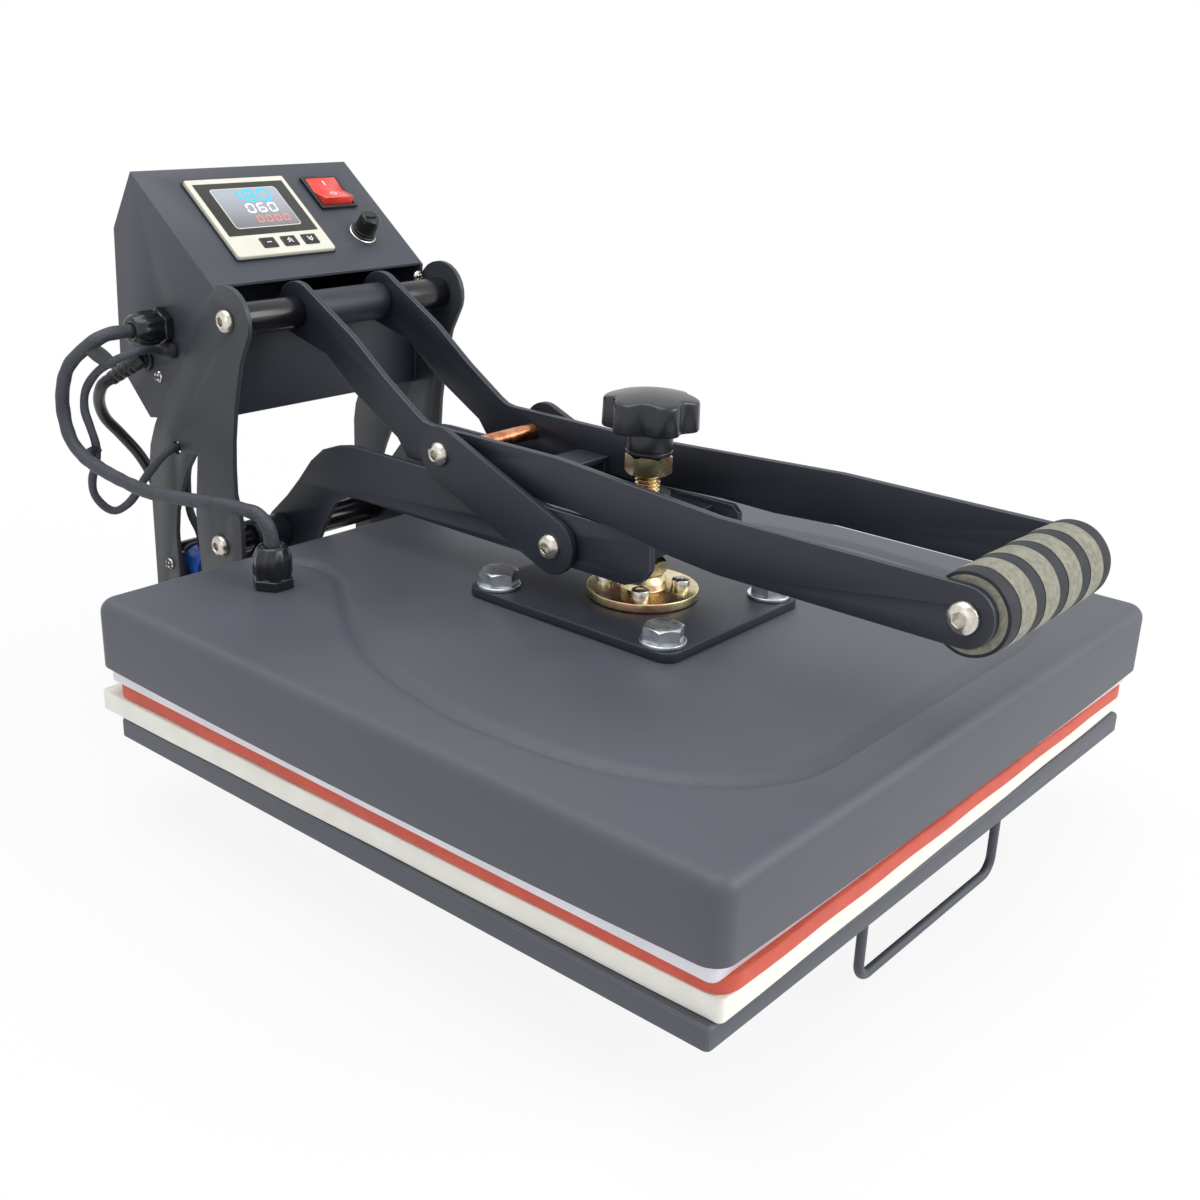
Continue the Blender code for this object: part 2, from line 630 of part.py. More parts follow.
for hand, sign in SIDES:
    holes = upright_holes + (left_holes if hand == "left" else [])
    upright = as_mesh(flat(f"{hand}_upright", upright_outline, holes, UPRIGHT_SHEET, BLACK_COAT))
    put(upright, frame_seat, (sign * (UPRIGHT_OUTER - UPRIGHT_SHEET / 2), CARRIER_PIVOT.y, FOOT_TOP), SIDE_VIEW)
    foot_depth = UPRIGHT_DEPTH + UPRIGHT_TOE - 2 * UPRIGHT_FOOT_INSET
    foot_y = CARRIER_PIVOT.y + (UPRIGHT_DEPTH - UPRIGHT_TOE) / 2
    flange = block(f"{hand}_upright_foot", (UPRIGHT_FOOT, foot_depth, UPRIGHT_SHEET))
    foot_x = sign * (UPRIGHT_OUTER - UPRIGHT_SHEET / 2 - UPRIGHT_FOOT / 2)
    combine(upright, "UNION", put(flange, frame_seat, (foot_x, foot_y, FOOT_TOP + UPRIGHT_SHEET / 2)))
    for seat in (SEAT_FRONT + SEAT_BAR / 2, BASE_REAR - SEAT_BAR / 2):
        screw_length = UPRIGHT_SHEET / 2 + UPRIGHT_SCREW_HEIGHT
        screw = rod(f"{hand}_upright_screw", UPRIGHT_SCREW_RADIUS, screw_length, HEXAGON)
        combine(upright, "UNION", put(screw, frame_seat, (foot_x, seat, FOOT_TOP + UPRIGHT_SHEET / 2)))

# Handle shaft: a bolt through both uprights with a spacer on each side
HANDLE_CORE_RADIUS = 0.006
HANDLE_SPACER_RADIUS = 0.0096
HANDLE_TUBE_RADIUS = 0.0112
handle_shaft_half = bolt_end(UPRIGHT_OUTER, UPRIGHT_INNER - FIT) + [
    (HANDLE_SPACER_RADIUS, UPRIGHT_INNER - FIT),
    (HANDLE_SPACER_RADIUS, ARM_OUTER + FIT),
    (HANDLE_CORE_RADIUS, ARM_OUTER + FIT),
]
handle_shaft = turned("handle_shaft", both_ends(handle_shaft_half), GLOSS_BLACK)
put(handle_shaft, frame_seat, HANDLE_PIVOT, TO_RIGHT)

# Carrier shaft: a bolt with spacers; the armature's collar turns on its left side
CARRIER_CORE_RADIUS = 0.006
CARRIER_SPACER_RADIUS = 0.0085
CARRIER_COLLAR_RADIUS = 0.011
CARRIER_COLLAR_LENGTH = 0.0244
COLLAR_END = CARRIER_OUTER + FIT + CARRIER_COLLAR_LENGTH
MIDDLE_SPACER_RADIUS = 0.009
carrier_shaft_right = bolt_end(UPRIGHT_OUTER, UPRIGHT_INNER - FIT) + [
    (CARRIER_SPACER_RADIUS, UPRIGHT_INNER - FIT),
    (CARRIER_SPACER_RADIUS, COLLAR_END),
    (CARRIER_COLLAR_RADIUS, COLLAR_END),
    (CARRIER_COLLAR_RADIUS, CARRIER_OUTER + FIT),
    (CARRIER_CORE_RADIUS, CARRIER_OUTER + FIT),
    (CARRIER_CORE_RADIUS, CARRIER_INNER - FIT),
    (MIDDLE_SPACER_RADIUS, CARRIER_INNER - FIT),
]
carrier_shaft_left = bolt_end(UPRIGHT_OUTER, UPRIGHT_INNER - FIT) + [
    (CARRIER_SPACER_RADIUS, UPRIGHT_INNER - FIT),
    (CARRIER_SPACER_RADIUS, COLLAR_END + FIT),
    (CARRIER_CORE_RADIUS, COLLAR_END + FIT),
    (CARRIER_CORE_RADIUS, CARRIER_INNER - FIT),
    (MIDDLE_SPACER_RADIUS, CARRIER_INNER - FIT),
]
carrier_shaft_profile = carrier_shaft_right + [(r, -x) for r, x in reversed(carrier_shaft_left)]
carrier_shaft = turned("carrier_shaft", carrier_shaft_profile, GLOSS_BLACK)
put(carrier_shaft, frame_seat, CARRIER_PIVOT, TO_RIGHT)

# Control box: a folded cover over a folded base tray, between the uprights
TRAY_SIDE_RISE = 0.0025
TRAY_FRONT_OVERLAP = 0.0085
TRAY_GUSSET_RUN = 0.010
TRAY_GUSSET_FOOT = 0.022
BOX_SCREW_RADIUS = 0.0032
BOX_SCREW_HEIGHT = 0.0018
SIDE_SCREW_SHARES = (0.565, 0.167)
LIP_SCREW_INSET = 0.0045
LIP_SCREW_SHARE = 0.25


def box_side(shares, sign, inward=0):
    """A place on a side of the box, as shares of its depth and of its height up to the shoulder."""
    across = BOX_TOE.y + shares[0] * (BOX_BACK.y - BOX_TOE.y)
    up = BOX_TOE.z + shares[1] * (BOX_SHOULDER.z - BOX_TOE.z)
    return Vector((sign * (BOX_HALF - inward), across, up))


cover_outline = [side(p) for p in (BOX_TOE, BOX_HEEL, BOX_BACK, BOX_SHOULDER, PANEL_HEAD, PANEL_FOOT, LIP_FOOT)]
box_cover = folded("box_cover", cover_outline, BOX_HALF, (0, 1, 6), BOX_SHEET, CHARCOAL)
put(box_cover, frame_seat, (0, 0, 0), SIDE_VIEW)

inset = BOX_SHEET + FIT
tray_back = BOX_BACK + Vector((0, -inset, -inset * HEEL_DROP / HEEL_RUN))
tray_rim = BOX_BACK.z + TRAY_SIDE_RISE
tray_crest = LIP_FOOT.z + TRAY_FRONT_OVERLAP
tray_outline = [
    side(BOX_TOE),
    side(BOX_HEEL),
    side(tray_back),
    (tray_back.y, tray_rim),
    (BOX_TOE.y + TRAY_GUSSET_FOOT, tray_rim),
    (BOX_TOE.y + TRAY_GUSSET_RUN, tray_crest),
    (BOX_TOE.y, tray_crest),
]
box_tray = folded("box_tray", tray_outline, BOX_HALF - inset, (3, 4, 5), BOX_SHEET, BLACK_COAT)
put(box_tray, frame_seat, (0, 0, 0), SIDE_VIEW)

screw_length = BOX_SHEET / 2 + BOX_SCREW_HEIGHT
for hand, sign in SIDES:
    head = rod(f"{hand}_side_screw", BOX_SCREW_RADIUS, screw_length, SMALL_STEPS)
    place = box_side(SIDE_SCREW_SHARES, sign, BOX_SHEET / 2)
    combine(box_cover, "UNION", put(head, frame_seat, place, TO_RIGHT if sign > 0 else TO_LEFT))
    lip_head = rod(f"{hand}_lip_screw", BOX_SCREW_RADIUS, screw_length, SMALL_STEPS)
    lip_y = PANEL_FOOT.y + LIP_SCREW_SHARE * LIP_LEAN + BOX_SHEET / 2
    lip_z = PANEL_FOOT.z - LIP_SCREW_SHARE * LIP_HEIGHT
    lip_place = (sign * (BOX_HALF - LIP_SCREW_INSET), lip_y, lip_z)
    combine(box_cover, "UNION", put(lip_head, frame_seat, lip_place, FRONT_VIEW))

# Relay inside the box, on the tray's floor
RELAY_SIZE = (0.058, 0.040, 0.022)
FLOOR_SLOPE = math.atan2(BOX_TOE.z - BOX_HEEL.z, BOX_HEEL.y - BOX_TOE.y)
floor_middle = (BOX_TOE + BOX_HEEL) / 2
rise = BOX_SHEET + FIT + RELAY_SIZE[2] / 2
relay_place = floor_middle + rise * Vector((0, math.sin(FLOOR_SLOPE), math.cos(FLOOR_SLOPE)))
relay = block("relay", RELAY_SIZE, BLACK_PLASTIC, collection=press)
put(relay, frame_seat, relay_place, Euler((-FLOOR_SLOPE, 0, 0)))

# Sloping panel: X across, Y up the slope, Z out of it
panel = group("panel", PANEL_FOOT, frame_seat)
panel.rotation_euler = Euler((PANEL_SLOPE, 0, 0))

# Controller in the panel, with pockets for its three keys
CONTROLLER_X = -0.017
CONTROLLER_UP = 0.0509
CONTROLLER_SIZE = (0.074, 0.065)
CONTROLLER_BEZEL = 0.003
CONTROLLER_BODY = (0.066, 0.057)
CONTROLLER_DEPTH = 0.038
KEY_SIZE = (0.0113, 0.0084)
KEY_HEIGHT = 0.004
KEY_PROUD = 0.0008
KEY_TRAVEL = 0.001
KEY_PITCH = 0.01575
KEY_ROW_X = 0.0065
KEY_ROW_UP = 0.0233

controller_face = FIT + CONTROLLER_BEZEL
body_length = CONTROLLER_DEPTH + FIT + CONTROLLER_BEZEL / 2
controller = block("controller", (*CONTROLLER_SIZE, CONTROLLER_BEZEL), CREAM_PLASTIC, collection=press)
fix(controller, panel, (CONTROLLER_X, CONTROLLER_UP, FIT + CONTROLLER_BEZEL / 2))
controller_body = block("controller_body", (*CONTROLLER_BODY, body_length))
body_place = (CONTROLLER_X, CONTROLLER_UP, FIT + CONTROLLER_BEZEL / 2 - body_length / 2)
combine(controller, "UNION", fix(controller_body, panel, body_place))
controller_room = [size + 2 * FIT for size in CONTROLLER_BODY]
controller_hole = block("controller_hole", (*controller_room, 2 * OVERRUN + BOX_SHEET))
combine(box_cover, "DIFFERENCE", fix(controller_hole, panel, (CONTROLLER_X, CONTROLLER_UP, 0)))

key_under = controller_face + KEY_PROUD - KEY_HEIGHT
pocket_floor = key_under - KEY_TRAVEL - FIT
pocket_height = controller_face + OVERRUN - pocket_floor
for i, name in enumerate(("key_set", "key_up", "key_down")):
    key_x = CONTROLLER_X + KEY_ROW_X + (i - 1) * KEY_PITCH
    key_y = CONTROLLER_UP - KEY_ROW_UP
    pocket = block(f"{name}_pocket", (*(size + 2 * FIT for size in KEY_SIZE), pocket_height))
    combine(controller, "DIFFERENCE", fix(pocket, panel, (key_x, key_y, pocket_floor + pocket_height / 2)))
    key = block(name, (*KEY_SIZE, KEY_HEIGHT), BLACK_PLASTIC, collection=press)
    fix(key, panel, (key_x, key_y, key_under + KEY_HEIGHT / 2))

# Power switch: a bezel with a pocket, and a rocker that tips in it
SWITCH_X = 0.049
SWITCH_UP = 0.0682
SWITCH_BEZEL_SIZE = (0.0296, 0.0284)
SWITCH_BEZEL = 0.002
SWITCH_BODY = (0.0276, 0.0264)
SWITCH_DEPTH = 0.022
ROCKER_WIDTH = 0.0240
ROCKER_HALF = 0.0112
ROCKER_END_HEIGHT = 0.0055
ROCKER_MIDDLE_HEIGHT = 0.003
ROCKER_CHEEK = 0.001
ROCKER_KEEL = 0.005
ROCKER_KEEL_SHARE = 0.55
ROCKER_PIVOT_DEPTH = 0.001
ROCKER_TILT = math.radians(10)
ROCKER_PLAY = 0.0010

switch_length = SWITCH_DEPTH + FIT + SWITCH_BEZEL / 2
switch = block("power_switch", (*SWITCH_BEZEL_SIZE, SWITCH_BEZEL), BLACK_PLASTIC, collection=press)
fix(switch, panel, (SWITCH_X, SWITCH_UP, FIT + SWITCH_BEZEL / 2))
switch_body = block("switch_body", (*SWITCH_BODY, switch_length))
switch_depth = FIT + SWITCH_BEZEL / 2 - switch_length / 2
combine(switch, "UNION", fix(switch_body, panel, (SWITCH_X, SWITCH_UP, switch_depth)))
switch_hole = block("switch_hole", (*(size + 2 * FIT for size in SWITCH_BODY), 2 * OVERRUN + BOX_SHEET))
combine(box_cover, "DIFFERENCE", fix(switch_hole, panel, (SWITCH_X, SWITCH_UP, 0)))
well_floor = -ROCKER_PIVOT_DEPTH - ROCKER_KEEL - ROCKER_PLAY
well_height = FIT + SWITCH_BEZEL + OVERRUN - well_floor
well = block("switch_well", (ROCKER_WIDTH + 2 * FIT, 2 * (ROCKER_HALF + ROCKER_PLAY), well_height))
combine(switch, "DIFFERENCE", fix(well, panel, (SWITCH_X, SWITCH_UP, well_floor + well_height / 2)))

rocker_axis = bpy.data.objects.new("rocker_axis", None)
press.objects.link(rocker_axis)
fix(rocker_axis, panel, (SWITCH_X, SWITCH_UP, -ROCKER_PIVOT_DEPTH), Euler((-ROCKER_TILT, 0, 0)))
keel = ROCKER_KEEL_SHARE * ROCKER_HALF
rocker_outline = [
    (-ROCKER_HALF, -ROCKER_CHEEK),
    (-keel, -ROCKER_KEEL),
    (keel, -ROCKER_KEEL),
    (ROCKER_HALF, -ROCKER_CHEEK),
    (ROCKER_HALF, ROCKER_END_HEIGHT),
    (0, ROCKER_MIDDLE_HEIGHT),
    (-ROCKER_HALF, ROCKER_END_HEIGHT),
]
fix(flat("rocker", rocker_outline, [], ROCKER_WIDTH, RED_PLASTIC), rocker_axis, (0, 0, 0), SIDE_VIEW)

# Fuse holder and its bayonet cap
FUSE_X = 0.052
FUSE_UP = 0.031
FUSE_FLANGE_RADIUS = 0.009
FUSE_FLANGE = 0.002
FUSE_NECK_RADIUS = 0.006
FUSE_DEPTH = 0.024
FUSE_BORE_RADIUS = 0.0045
FUSE_BORE_DEPTH = 0.016
CAP_RADIUS = 0.007
CAP_TOP_RADIUS = 0.006
CAP_HEIGHT = 0.0125
CAP_STEM_RADIUS = 0.0042
CAP_STEM_LENGTH = 0.012

flange_top = FIT + FUSE_FLANGE
holder_profile = [
    (0, -FUSE_BORE_DEPTH),
    (FUSE_BORE_RADIUS, -FUSE_BORE_DEPTH),
    (FUSE_BORE_RADIUS, flange_top),
    (FUSE_FLANGE_RADIUS, flange_top),
    (FUSE_FLANGE_RADIUS, FIT),
    (FUSE_NECK_RADIUS, FIT),
    (FUSE_NECK_RADIUS, -FUSE_DEPTH),
    (0, -FUSE_DEPTH),
]
fix(turned("fuse_holder", holder_profile, BLACK_PLASTIC), panel, (FUSE_X, FUSE_UP, 0))
cap_profile = [
    (0, CAP_HEIGHT),
    (CAP_TOP_RADIUS, CAP_HEIGHT),
    (CAP_RADIUS, FIT),
    (CAP_STEM_RADIUS, FIT),
    (CAP_STEM_RADIUS, -CAP_STEM_LENGTH),
    (0, -CAP_STEM_LENGTH),
]
fix(turned("fuse_cap", cap_profile, BLACK_PLASTIC), panel, (FUSE_X, FUSE_UP, flange_top))
fuse_hole = rod("fuse_hole", FUSE_NECK_RADIUS + FIT, 2 * OVERRUN + BOX_SHEET)
combine(box_cover, "DIFFERENCE", fix(fuse_hole, panel, (FUSE_X, FUSE_UP, -OVERRUN - BOX_SHEET)))

# Cable gland, as on the box's side and on the heater cover: hexagon nut, body, dome and threaded neck
GLAND_NUT_RADIUS = 0.0118
GLAND_NUT = 0.0055
GLAND_BODY_RADIUS = 0.0108
GLAND_BODY = 0.014
GLAND_DOME_RADIUS = 0.008
GLAND_DOME = 0.004
GLAND_NECK_RADIUS = 0.0075
GLAND_NECK = 0.010
GLAND_TIP = FIT + GLAND_NUT + GLAND_BODY + GLAND_DOME
GLAND_PROFILE = [
    (0, GLAND_TIP),
    (GLAND_DOME_RADIUS, GLAND_TIP),
    (GLAND_BODY_RADIUS, GLAND_TIP - GLAND_DOME),
    (GLAND_BODY_RADIUS, FIT + GLAND_NUT),
    (GLAND_NUT_RADIUS, FIT + GLAND_NUT),
    (GLAND_NUT_RADIUS, FIT),
    (GLAND_NECK_RADIUS, FIT),
    (GLAND_NECK_RADIUS, -GLAND_NECK),
    (0, -GLAND_NECK),
]
BOX_GLAND_SHARES = (0.467, 0.482)
HOLE_PLAY = 0.0005


def drill(sheet, name, radius, place, turn=None, parent=frame_seat):
    """A round hole through a sheet, centred on a place on its face."""
    tool = rod(name, radius, 2 * HOLE_REACH)
    tool.data.transform(Matrix.Translation((0, 0, -HOLE_REACH)))
    return combine(sheet, "DIFFERENCE", put(tool, parent, place, turn))


HOLE_REACH = BOX_SHEET + OVERRUN
box_gland_place = box_side(BOX_GLAND_SHARES, -1)
put(turned("box_gland", GLAND_PROFILE, BLACK_PLASTIC, HEXAGON), frame_seat, box_gland_place, TO_LEFT)
drill(box_cover, "box_gland_hole", GLAND_NECK_RADIUS + HOLE_PLAY, box_gland_place, TO_LEFT)

# Grommet for the magnet's thin lead
GROMMET_SHARES = (0.383, 0.353)
GROMMET_RADIUS = 0.005
GROMMET_FLANGE = 0.0015
GROMMET_NECK_RADIUS = 0.0038
GROMMET_NECK = 0.004
GROMMET_TIP = 0.0045
grommet_place = box_side(GROMMET_SHARES, -1)
GROMMET_PROFILE = [
    (0, GROMMET_TIP),
    (GROMMET_NECK_RADIUS, GROMMET_TIP),
    (GROMMET_RADIUS, FIT + GROMMET_FLANGE),
    (GROMMET_RADIUS, FIT),
    (GROMMET_NECK_RADIUS, FIT),
    (GROMMET_NECK_RADIUS, -GROMMET_NECK),
    (0, -GROMMET_NECK),
]
put(turned("lead_grommet", GROMMET_PROFILE, RUBBER), frame_seat, grommet_place, TO_LEFT)
drill(box_cover, "lead_grommet_hole", GROMMET_NECK_RADIUS + HOLE_PLAY, grommet_place, TO_LEFT)

# Strain relief of the mains lead: a flanged neck in the box's side and a tapered boot that leans back
RELIEF_SHARES = (0.690, 0.258)
RELIEF_HEADING = Vector((-0.5, 0.65, -0.57)).normalized()
RELIEF_FLANGE_RADIUS = 0.0075
RELIEF_FLANGE = 0.002
RELIEF_NECK_RADIUS = 0.0052
RELIEF_NECK = 0.006
RELIEF_BOOT = 0.022
RELIEF_BOOT_RADIUS = 0.0055
RELIEF_TIP_RADIUS = 0.0043
relief_place = box_side(RELIEF_SHARES, -1)
RELIEF_PROFILE = [
    (0, FIT + RELIEF_FLANGE),
    (RELIEF_FLANGE_RADIUS, FIT + RELIEF_FLANGE),
    (RELIEF_FLANGE_RADIUS, FIT),
    (RELIEF_NECK_RADIUS, FIT),
    (RELIEF_NECK_RADIUS, -RELIEF_NECK),
    (0, -RELIEF_NECK),
]
relief = turned("mains_relief", RELIEF_PROFILE, RUBBER)
put(relief, frame_seat, relief_place, TO_LEFT)
boot_start = relief_place - Vector((RELIEF_BOOT_RADIUS, 0, 0))
boot = rod("relief_boot", RELIEF_BOOT_RADIUS, RELIEF_BOOT, SMALL_STEPS, RELIEF_TIP_RADIUS)
put(boot, frame_seat, boot_start, RELIEF_HEADING.to_track_quat("Z", "Y").to_euler())
combine(relief, "UNION", boot)
relief_tip = boot_start + RELIEF_BOOT * RELIEF_HEADING
drill(box_cover, "relief_hole", RELIEF_NECK_RADIUS + HOLE_PLAY, relief_place, TO_LEFT)

# Electromagnet: a steel core with a flange on a bracket at the left upright, and its taped winding
MAGNET_X = -0.062
MAGNET_FACE_BEHIND_PIVOT = 0.0442
MAGNET_DROP = 0.0324
CORE_RADIUS = 0.008
CORE_LENGTH = 0.0215
WINDING_RADIUS = 0.013
CORE_FLANGE_RADIUS = 0.0135
CORE_FLANGE = 0.0038
BRACKET_SHEET = 0.003
BRACKET_HALF_HEIGHT = 0.0145
BRACKET_SCREW_MARGIN = 0.0075
MAGNET_SCREW_HEAD_RADIUS = 0.0032
MAGNET_SCREW_HEAD = 0.002

magnet_face = Vector((MAGNET_X, CARRIER_PIVOT.y + MAGNET_FACE_BEHIND_PIVOT, CARRIER_PIVOT.z - MAGNET_DROP))
plate_front = CORE_LENGTH
wall_x = -(UPRIGHT_INNER - FIT) - MAGNET_X
arm_x = CORE_FLANGE_RADIUS
leg_front = magnet_screw[0] - BRACKET_SCREW_MARGIN - MAGNET_FACE_BEHIND_PIVOT
bracket_plan = [
    (wall_x, plate_front + BRACKET_SHEET),
    (wall_x, leg_front),
    (wall_x + BRACKET_SHEET, leg_front),
    (wall_x + BRACKET_SHEET, plate_front),
    (arm_x, plate_front),
    (arm_x, plate_front + BRACKET_SHEET),
]
magnet_core = as_mesh(flat("magnet_core", bracket_plan, [], 2 * BRACKET_HALF_HEIGHT, BLACK_COAT))
put(magnet_core, frame_seat, magnet_face)
core_rod = rod("core_rod", CORE_RADIUS, CORE_LENGTH + BRACKET_SHEET / 2)
combine(magnet_core, "UNION", put(core_rod, frame_seat, magnet_face, TO_REAR))
core_flange = rod("core_flange", CORE_FLANGE_RADIUS, CORE_FLANGE + BRACKET_SHEET / 2)
flange_place = magnet_face + Vector((0, CORE_LENGTH - CORE_FLANGE, 0))
combine(magnet_core, "UNION", put(core_flange, frame_seat, flange_place, TO_REAR))
screw_place = Vector((-UPRIGHT_OUTER - FIT, CARRIER_PIVOT.y + magnet_screw[0], FOOT_TOP + magnet_screw[1]))
screw_reach = FIT + UPRIGHT_SHEET + FIT + BRACKET_SHEET / 2
screw_shank = rod("magnet_screw_shank", MAGNET_SCREW_RADIUS, screw_reach + MAGNET_SCREW_HEAD / 2, SMALL_STEPS)
shank_place = screw_place - Vector((MAGNET_SCREW_HEAD / 2, 0, 0))
combine(magnet_core, "UNION", put(screw_shank, frame_seat, shank_place, TO_RIGHT))
screw_head = rod("magnet_screw_head", MAGNET_SCREW_HEAD_RADIUS, MAGNET_SCREW_HEAD, SMALL_STEPS)
combine(magnet_core, "UNION", put(screw_head, frame_seat, screw_place, TO_LEFT))
winding_length = CORE_LENGTH - CORE_FLANGE - 2 * FIT
winding = ring("magnet_coil", WINDING_RADIUS, CORE_RADIUS + FIT, 0, winding_length, BLUE_TAPE)
put(winding, frame_seat, magnet_face + Vector((0, FIT, 0)), TO_REAR)

# Carrier: two plates that hook down behind the cover to the carrier pivot, drawn from that pivot
CARRIER_NOSE = 0.0394
CARRIER_ABOVE_LINK_FOOT = 0.021
CARRIER_ROUND = 0.0135
CARRIER_ROUND_TURN = (-115, 45)
LINK_PIN_RADIUS = 0.005
CARRIER_TOP_SHARES = (
    (0.023, 0.354), (0.064, 0.542), (0.106, 0.756), (0.145, 0.893),
    (0.186, 0.959), (0.223, 0.993), (0.244, 1.0),
    (0.715, 1.0), (0.766, 0.966), (0.982, 0.966), (0.997, 0.91),
)
CARRIER_UNDER_SHARES = (
    (1.0, 0.706), (0.984, 0.606), (0.945, 0.537), (0.255, 0.537),
    (0.219, 0.52), (0.178, 0.435), (0.136, 0.159),
    (0.111, -0.05), (0.07, -0.189),
)

carrier = group("carrier_axis", CARRIER_PIVOT, frame_seat)
carrier_reach = CARRIER_PIVOT.y + CARRIER_NOSE
carrier_depth = LINK_FOOT.z + CARRIER_ABOVE_LINK_FOOT - CARRIER_PIVOT.z
carrier_outline = (
    arc(0, 0, CARRIER_ROUND, *CARRIER_ROUND_TURN, PLATE_END_STEPS)
    + scaled(CARRIER_TOP_SHARES, -carrier_reach, carrier_depth)
    + scaled(CARRIER_UNDER_SHARES, -carrier_reach, carrier_depth)
)
link_foot_hole = circle(*side(LINK_FOOT - CARRIER_PIVOT), LINK_PIN_RADIUS + FIT)
carrier_holes = [circle(0, 0, CARRIER_CORE_RADIUS + FIT), link_foot_hole]
for hand, sign in SIDES:
    plate = flat(f"{hand}_carrier_plate", carrier_outline, carrier_holes, CARRIER_SHEET, BLACK_COAT)
    put(plate, carrier, CARRIER_PIVOT + sign * Vector((CARRIER_INNER + CARRIER_SHEET / 2, 0, 0)), SIDE_VIEW)

# Pressure block between the plates, threaded for the screw
THREAD_RADIUS = 0.0069
BLOCK_DEPTH = 0.036
BLOCK_HEIGHT = 0.019
BLOCK_ABOVE_COVER = 0.0332
BOSS_RADIUS = 0.0125
BOSS_HEIGHT = 0.0115
block_middle = SCREW_FOOT + Vector((0, 0, BLOCK_ABOVE_COVER + BLOCK_HEIGHT / 2))
block_size = (2 * (CARRIER_INNER - FIT), BLOCK_DEPTH, BLOCK_HEIGHT)
pressure_block = block("pressure_block", block_size, BLACK_COAT, collection=press)
put(pressure_block, carrier, block_middle)
boss = rod("block_boss", BOSS_RADIUS, BLOCK_HEIGHT / 2 + BOSS_HEIGHT)
combine(pressure_block, "UNION", put(boss, carrier, block_middle))
screw_bore = rod("screw_bore", THREAD_RADIUS + FIT, BLOCK_HEIGHT + BOSS_HEIGHT + 2 * OVERRUN)
bore_place = block_middle - Vector((0, 0, BLOCK_HEIGHT / 2 + OVERRUN))
combine(pressure_block, "DIFFERENCE", put(screw_bore, carrier, bore_place))

# Armature: a collar on the carrier's left side with a lever down to a plate that faces the magnet
LEVER_SHEET = 0.005
LEVER_END_RADIUS = 0.007
ARMATURE_RADIUS = 0.011
ARMATURE_SHEET = 0.004
ARMATURE_AIR = 0.0005

armature_back = magnet_face - Vector((0, ARMATURE_AIR + ARMATURE_SHEET, 0))
collar = turned("armature", column(CARRIER_COLLAR_RADIUS, CARRIER_COLLAR_LENGTH), BLACK_COAT)
put(collar, carrier, CARRIER_PIVOT - Vector((CARRIER_OUTER + FIT, 0, 0)), TO_LEFT)
lever_end = side(armature_back - CARRIER_PIVOT - Vector((0, LEVER_END_RADIUS - OVERRUN, 0)))
lever_outline = strap_outline((0, 0), CARRIER_COLLAR_RADIUS, lever_end, LEVER_END_RADIUS)
lever = as_mesh(flat("armature_lever", lever_outline, [], LEVER_SHEET, None, cutters))
lever_x = -(COLLAR_END - LEVER_SHEET / 2)
combine(collar, "UNION", put(lever, carrier, CARRIER_PIVOT + Vector((lever_x, 0, 0)), SIDE_VIEW))
disc = rod("armature_disc", ARMATURE_RADIUS, ARMATURE_SHEET)
combine(collar, "UNION", put(disc, carrier, armature_back, TO_REAR))
collar_bore = rod("collar_bore", CARRIER_CORE_RADIUS + FIT, CARRIER_COLLAR_LENGTH + 2 * OVERRUN)
bore_place = CARRIER_PIVOT - Vector((CARRIER_OUTER + FIT - OVERRUN, 0, 0))
combine(collar, "DIFFERENCE", put(collar_bore, carrier, bore_place, TO_LEFT))

# Platen group: cast platen, insulation, sheet cover, and the plate that hangs them from the screw
COVER_SHEET = 0.0012
COVER_ROUND = 0.010
PLATEN_CORNER = 0.004
PLATEN_END_MARGIN = 0.0025
WOOL_INSET = 0.0012
PLATE_WIDTH = 0.118
PLATE_DEPTH = 0.141
PLATE_SHEET = 0.005
PLATE_CORNER = 0.008
PLATE_BACK = 0.002
HANGER_INSET_X = 0.012
HANGER_INSET_Y = 0.0135
HANGER_RADIUS = 0.005
HANGER_PLAY = 0.0005
WASHER_RADIUS = 0.012
WASHER = 0.0024
HANGER_HEAD_RADIUS = 0.011
HANGER_HEAD = 0.0075
COVER_GLAND_SIDE = 0.079
COVER_GLAND_END = 0.0525

cover_gland_place = Vector((COVER_GLAND_SIDE - COVER_WIDTH / 2, COVER_DEPTH / 2 - COVER_GLAND_END, COVER_TOP))
platen_seat = group("platen_lift", SCREW_FOOT, carrier)
platen_outline = rounded_rectangle(PLATEN_SIZE, PLATEN_SIZE + 2 * PLATEN_END_MARGIN, PLATEN_CORNER)
platen = flat("platen", platen_outline, [], PLATEN_THICKNESS, PALE_ALUMINIUM)
put(platen, platen_seat, (0, 0, PLATEN_UNDER + PLATEN_THICKNESS / 2))

plate_under = COVER_TOP + FIT
plate_middle = Vector((0, PLATE_BACK, plate_under + PLATE_SHEET / 2))
hangers = [
    (x_sign * (PLATE_WIDTH / 2 - HANGER_INSET_X), PLATE_BACK + y_sign * (PLATE_DEPTH / 2 - HANGER_INSET_Y))
    for x_sign in (-1, 1)
    for y_sign in (-1, 1)
]
wool_holes = [circle(x, y, HANGER_RADIUS + HANGER_PLAY) for x, y in hangers]
wool_holes.append(circle(cover_gland_place.x, cover_gland_place.y, GLAND_NECK_RADIUS + HOLE_PLAY))
wool_top = COVER_TOP - COVER_SHEET - FIT
wool_under = PLATEN_TOP + FIT
wool_inset = 2 * (COVER_ROUND + WOOL_INSET)
wool_outline = rectangle(
    -(COVER_WIDTH - wool_inset) / 2, (COVER_WIDTH - wool_inset) / 2,
    -(COVER_DEPTH - wool_inset) / 2, (COVER_DEPTH - wool_inset) / 2,
)
wool = flat("insulation", wool_outline, wool_holes, wool_top - wool_under, GLASS_WOOL)
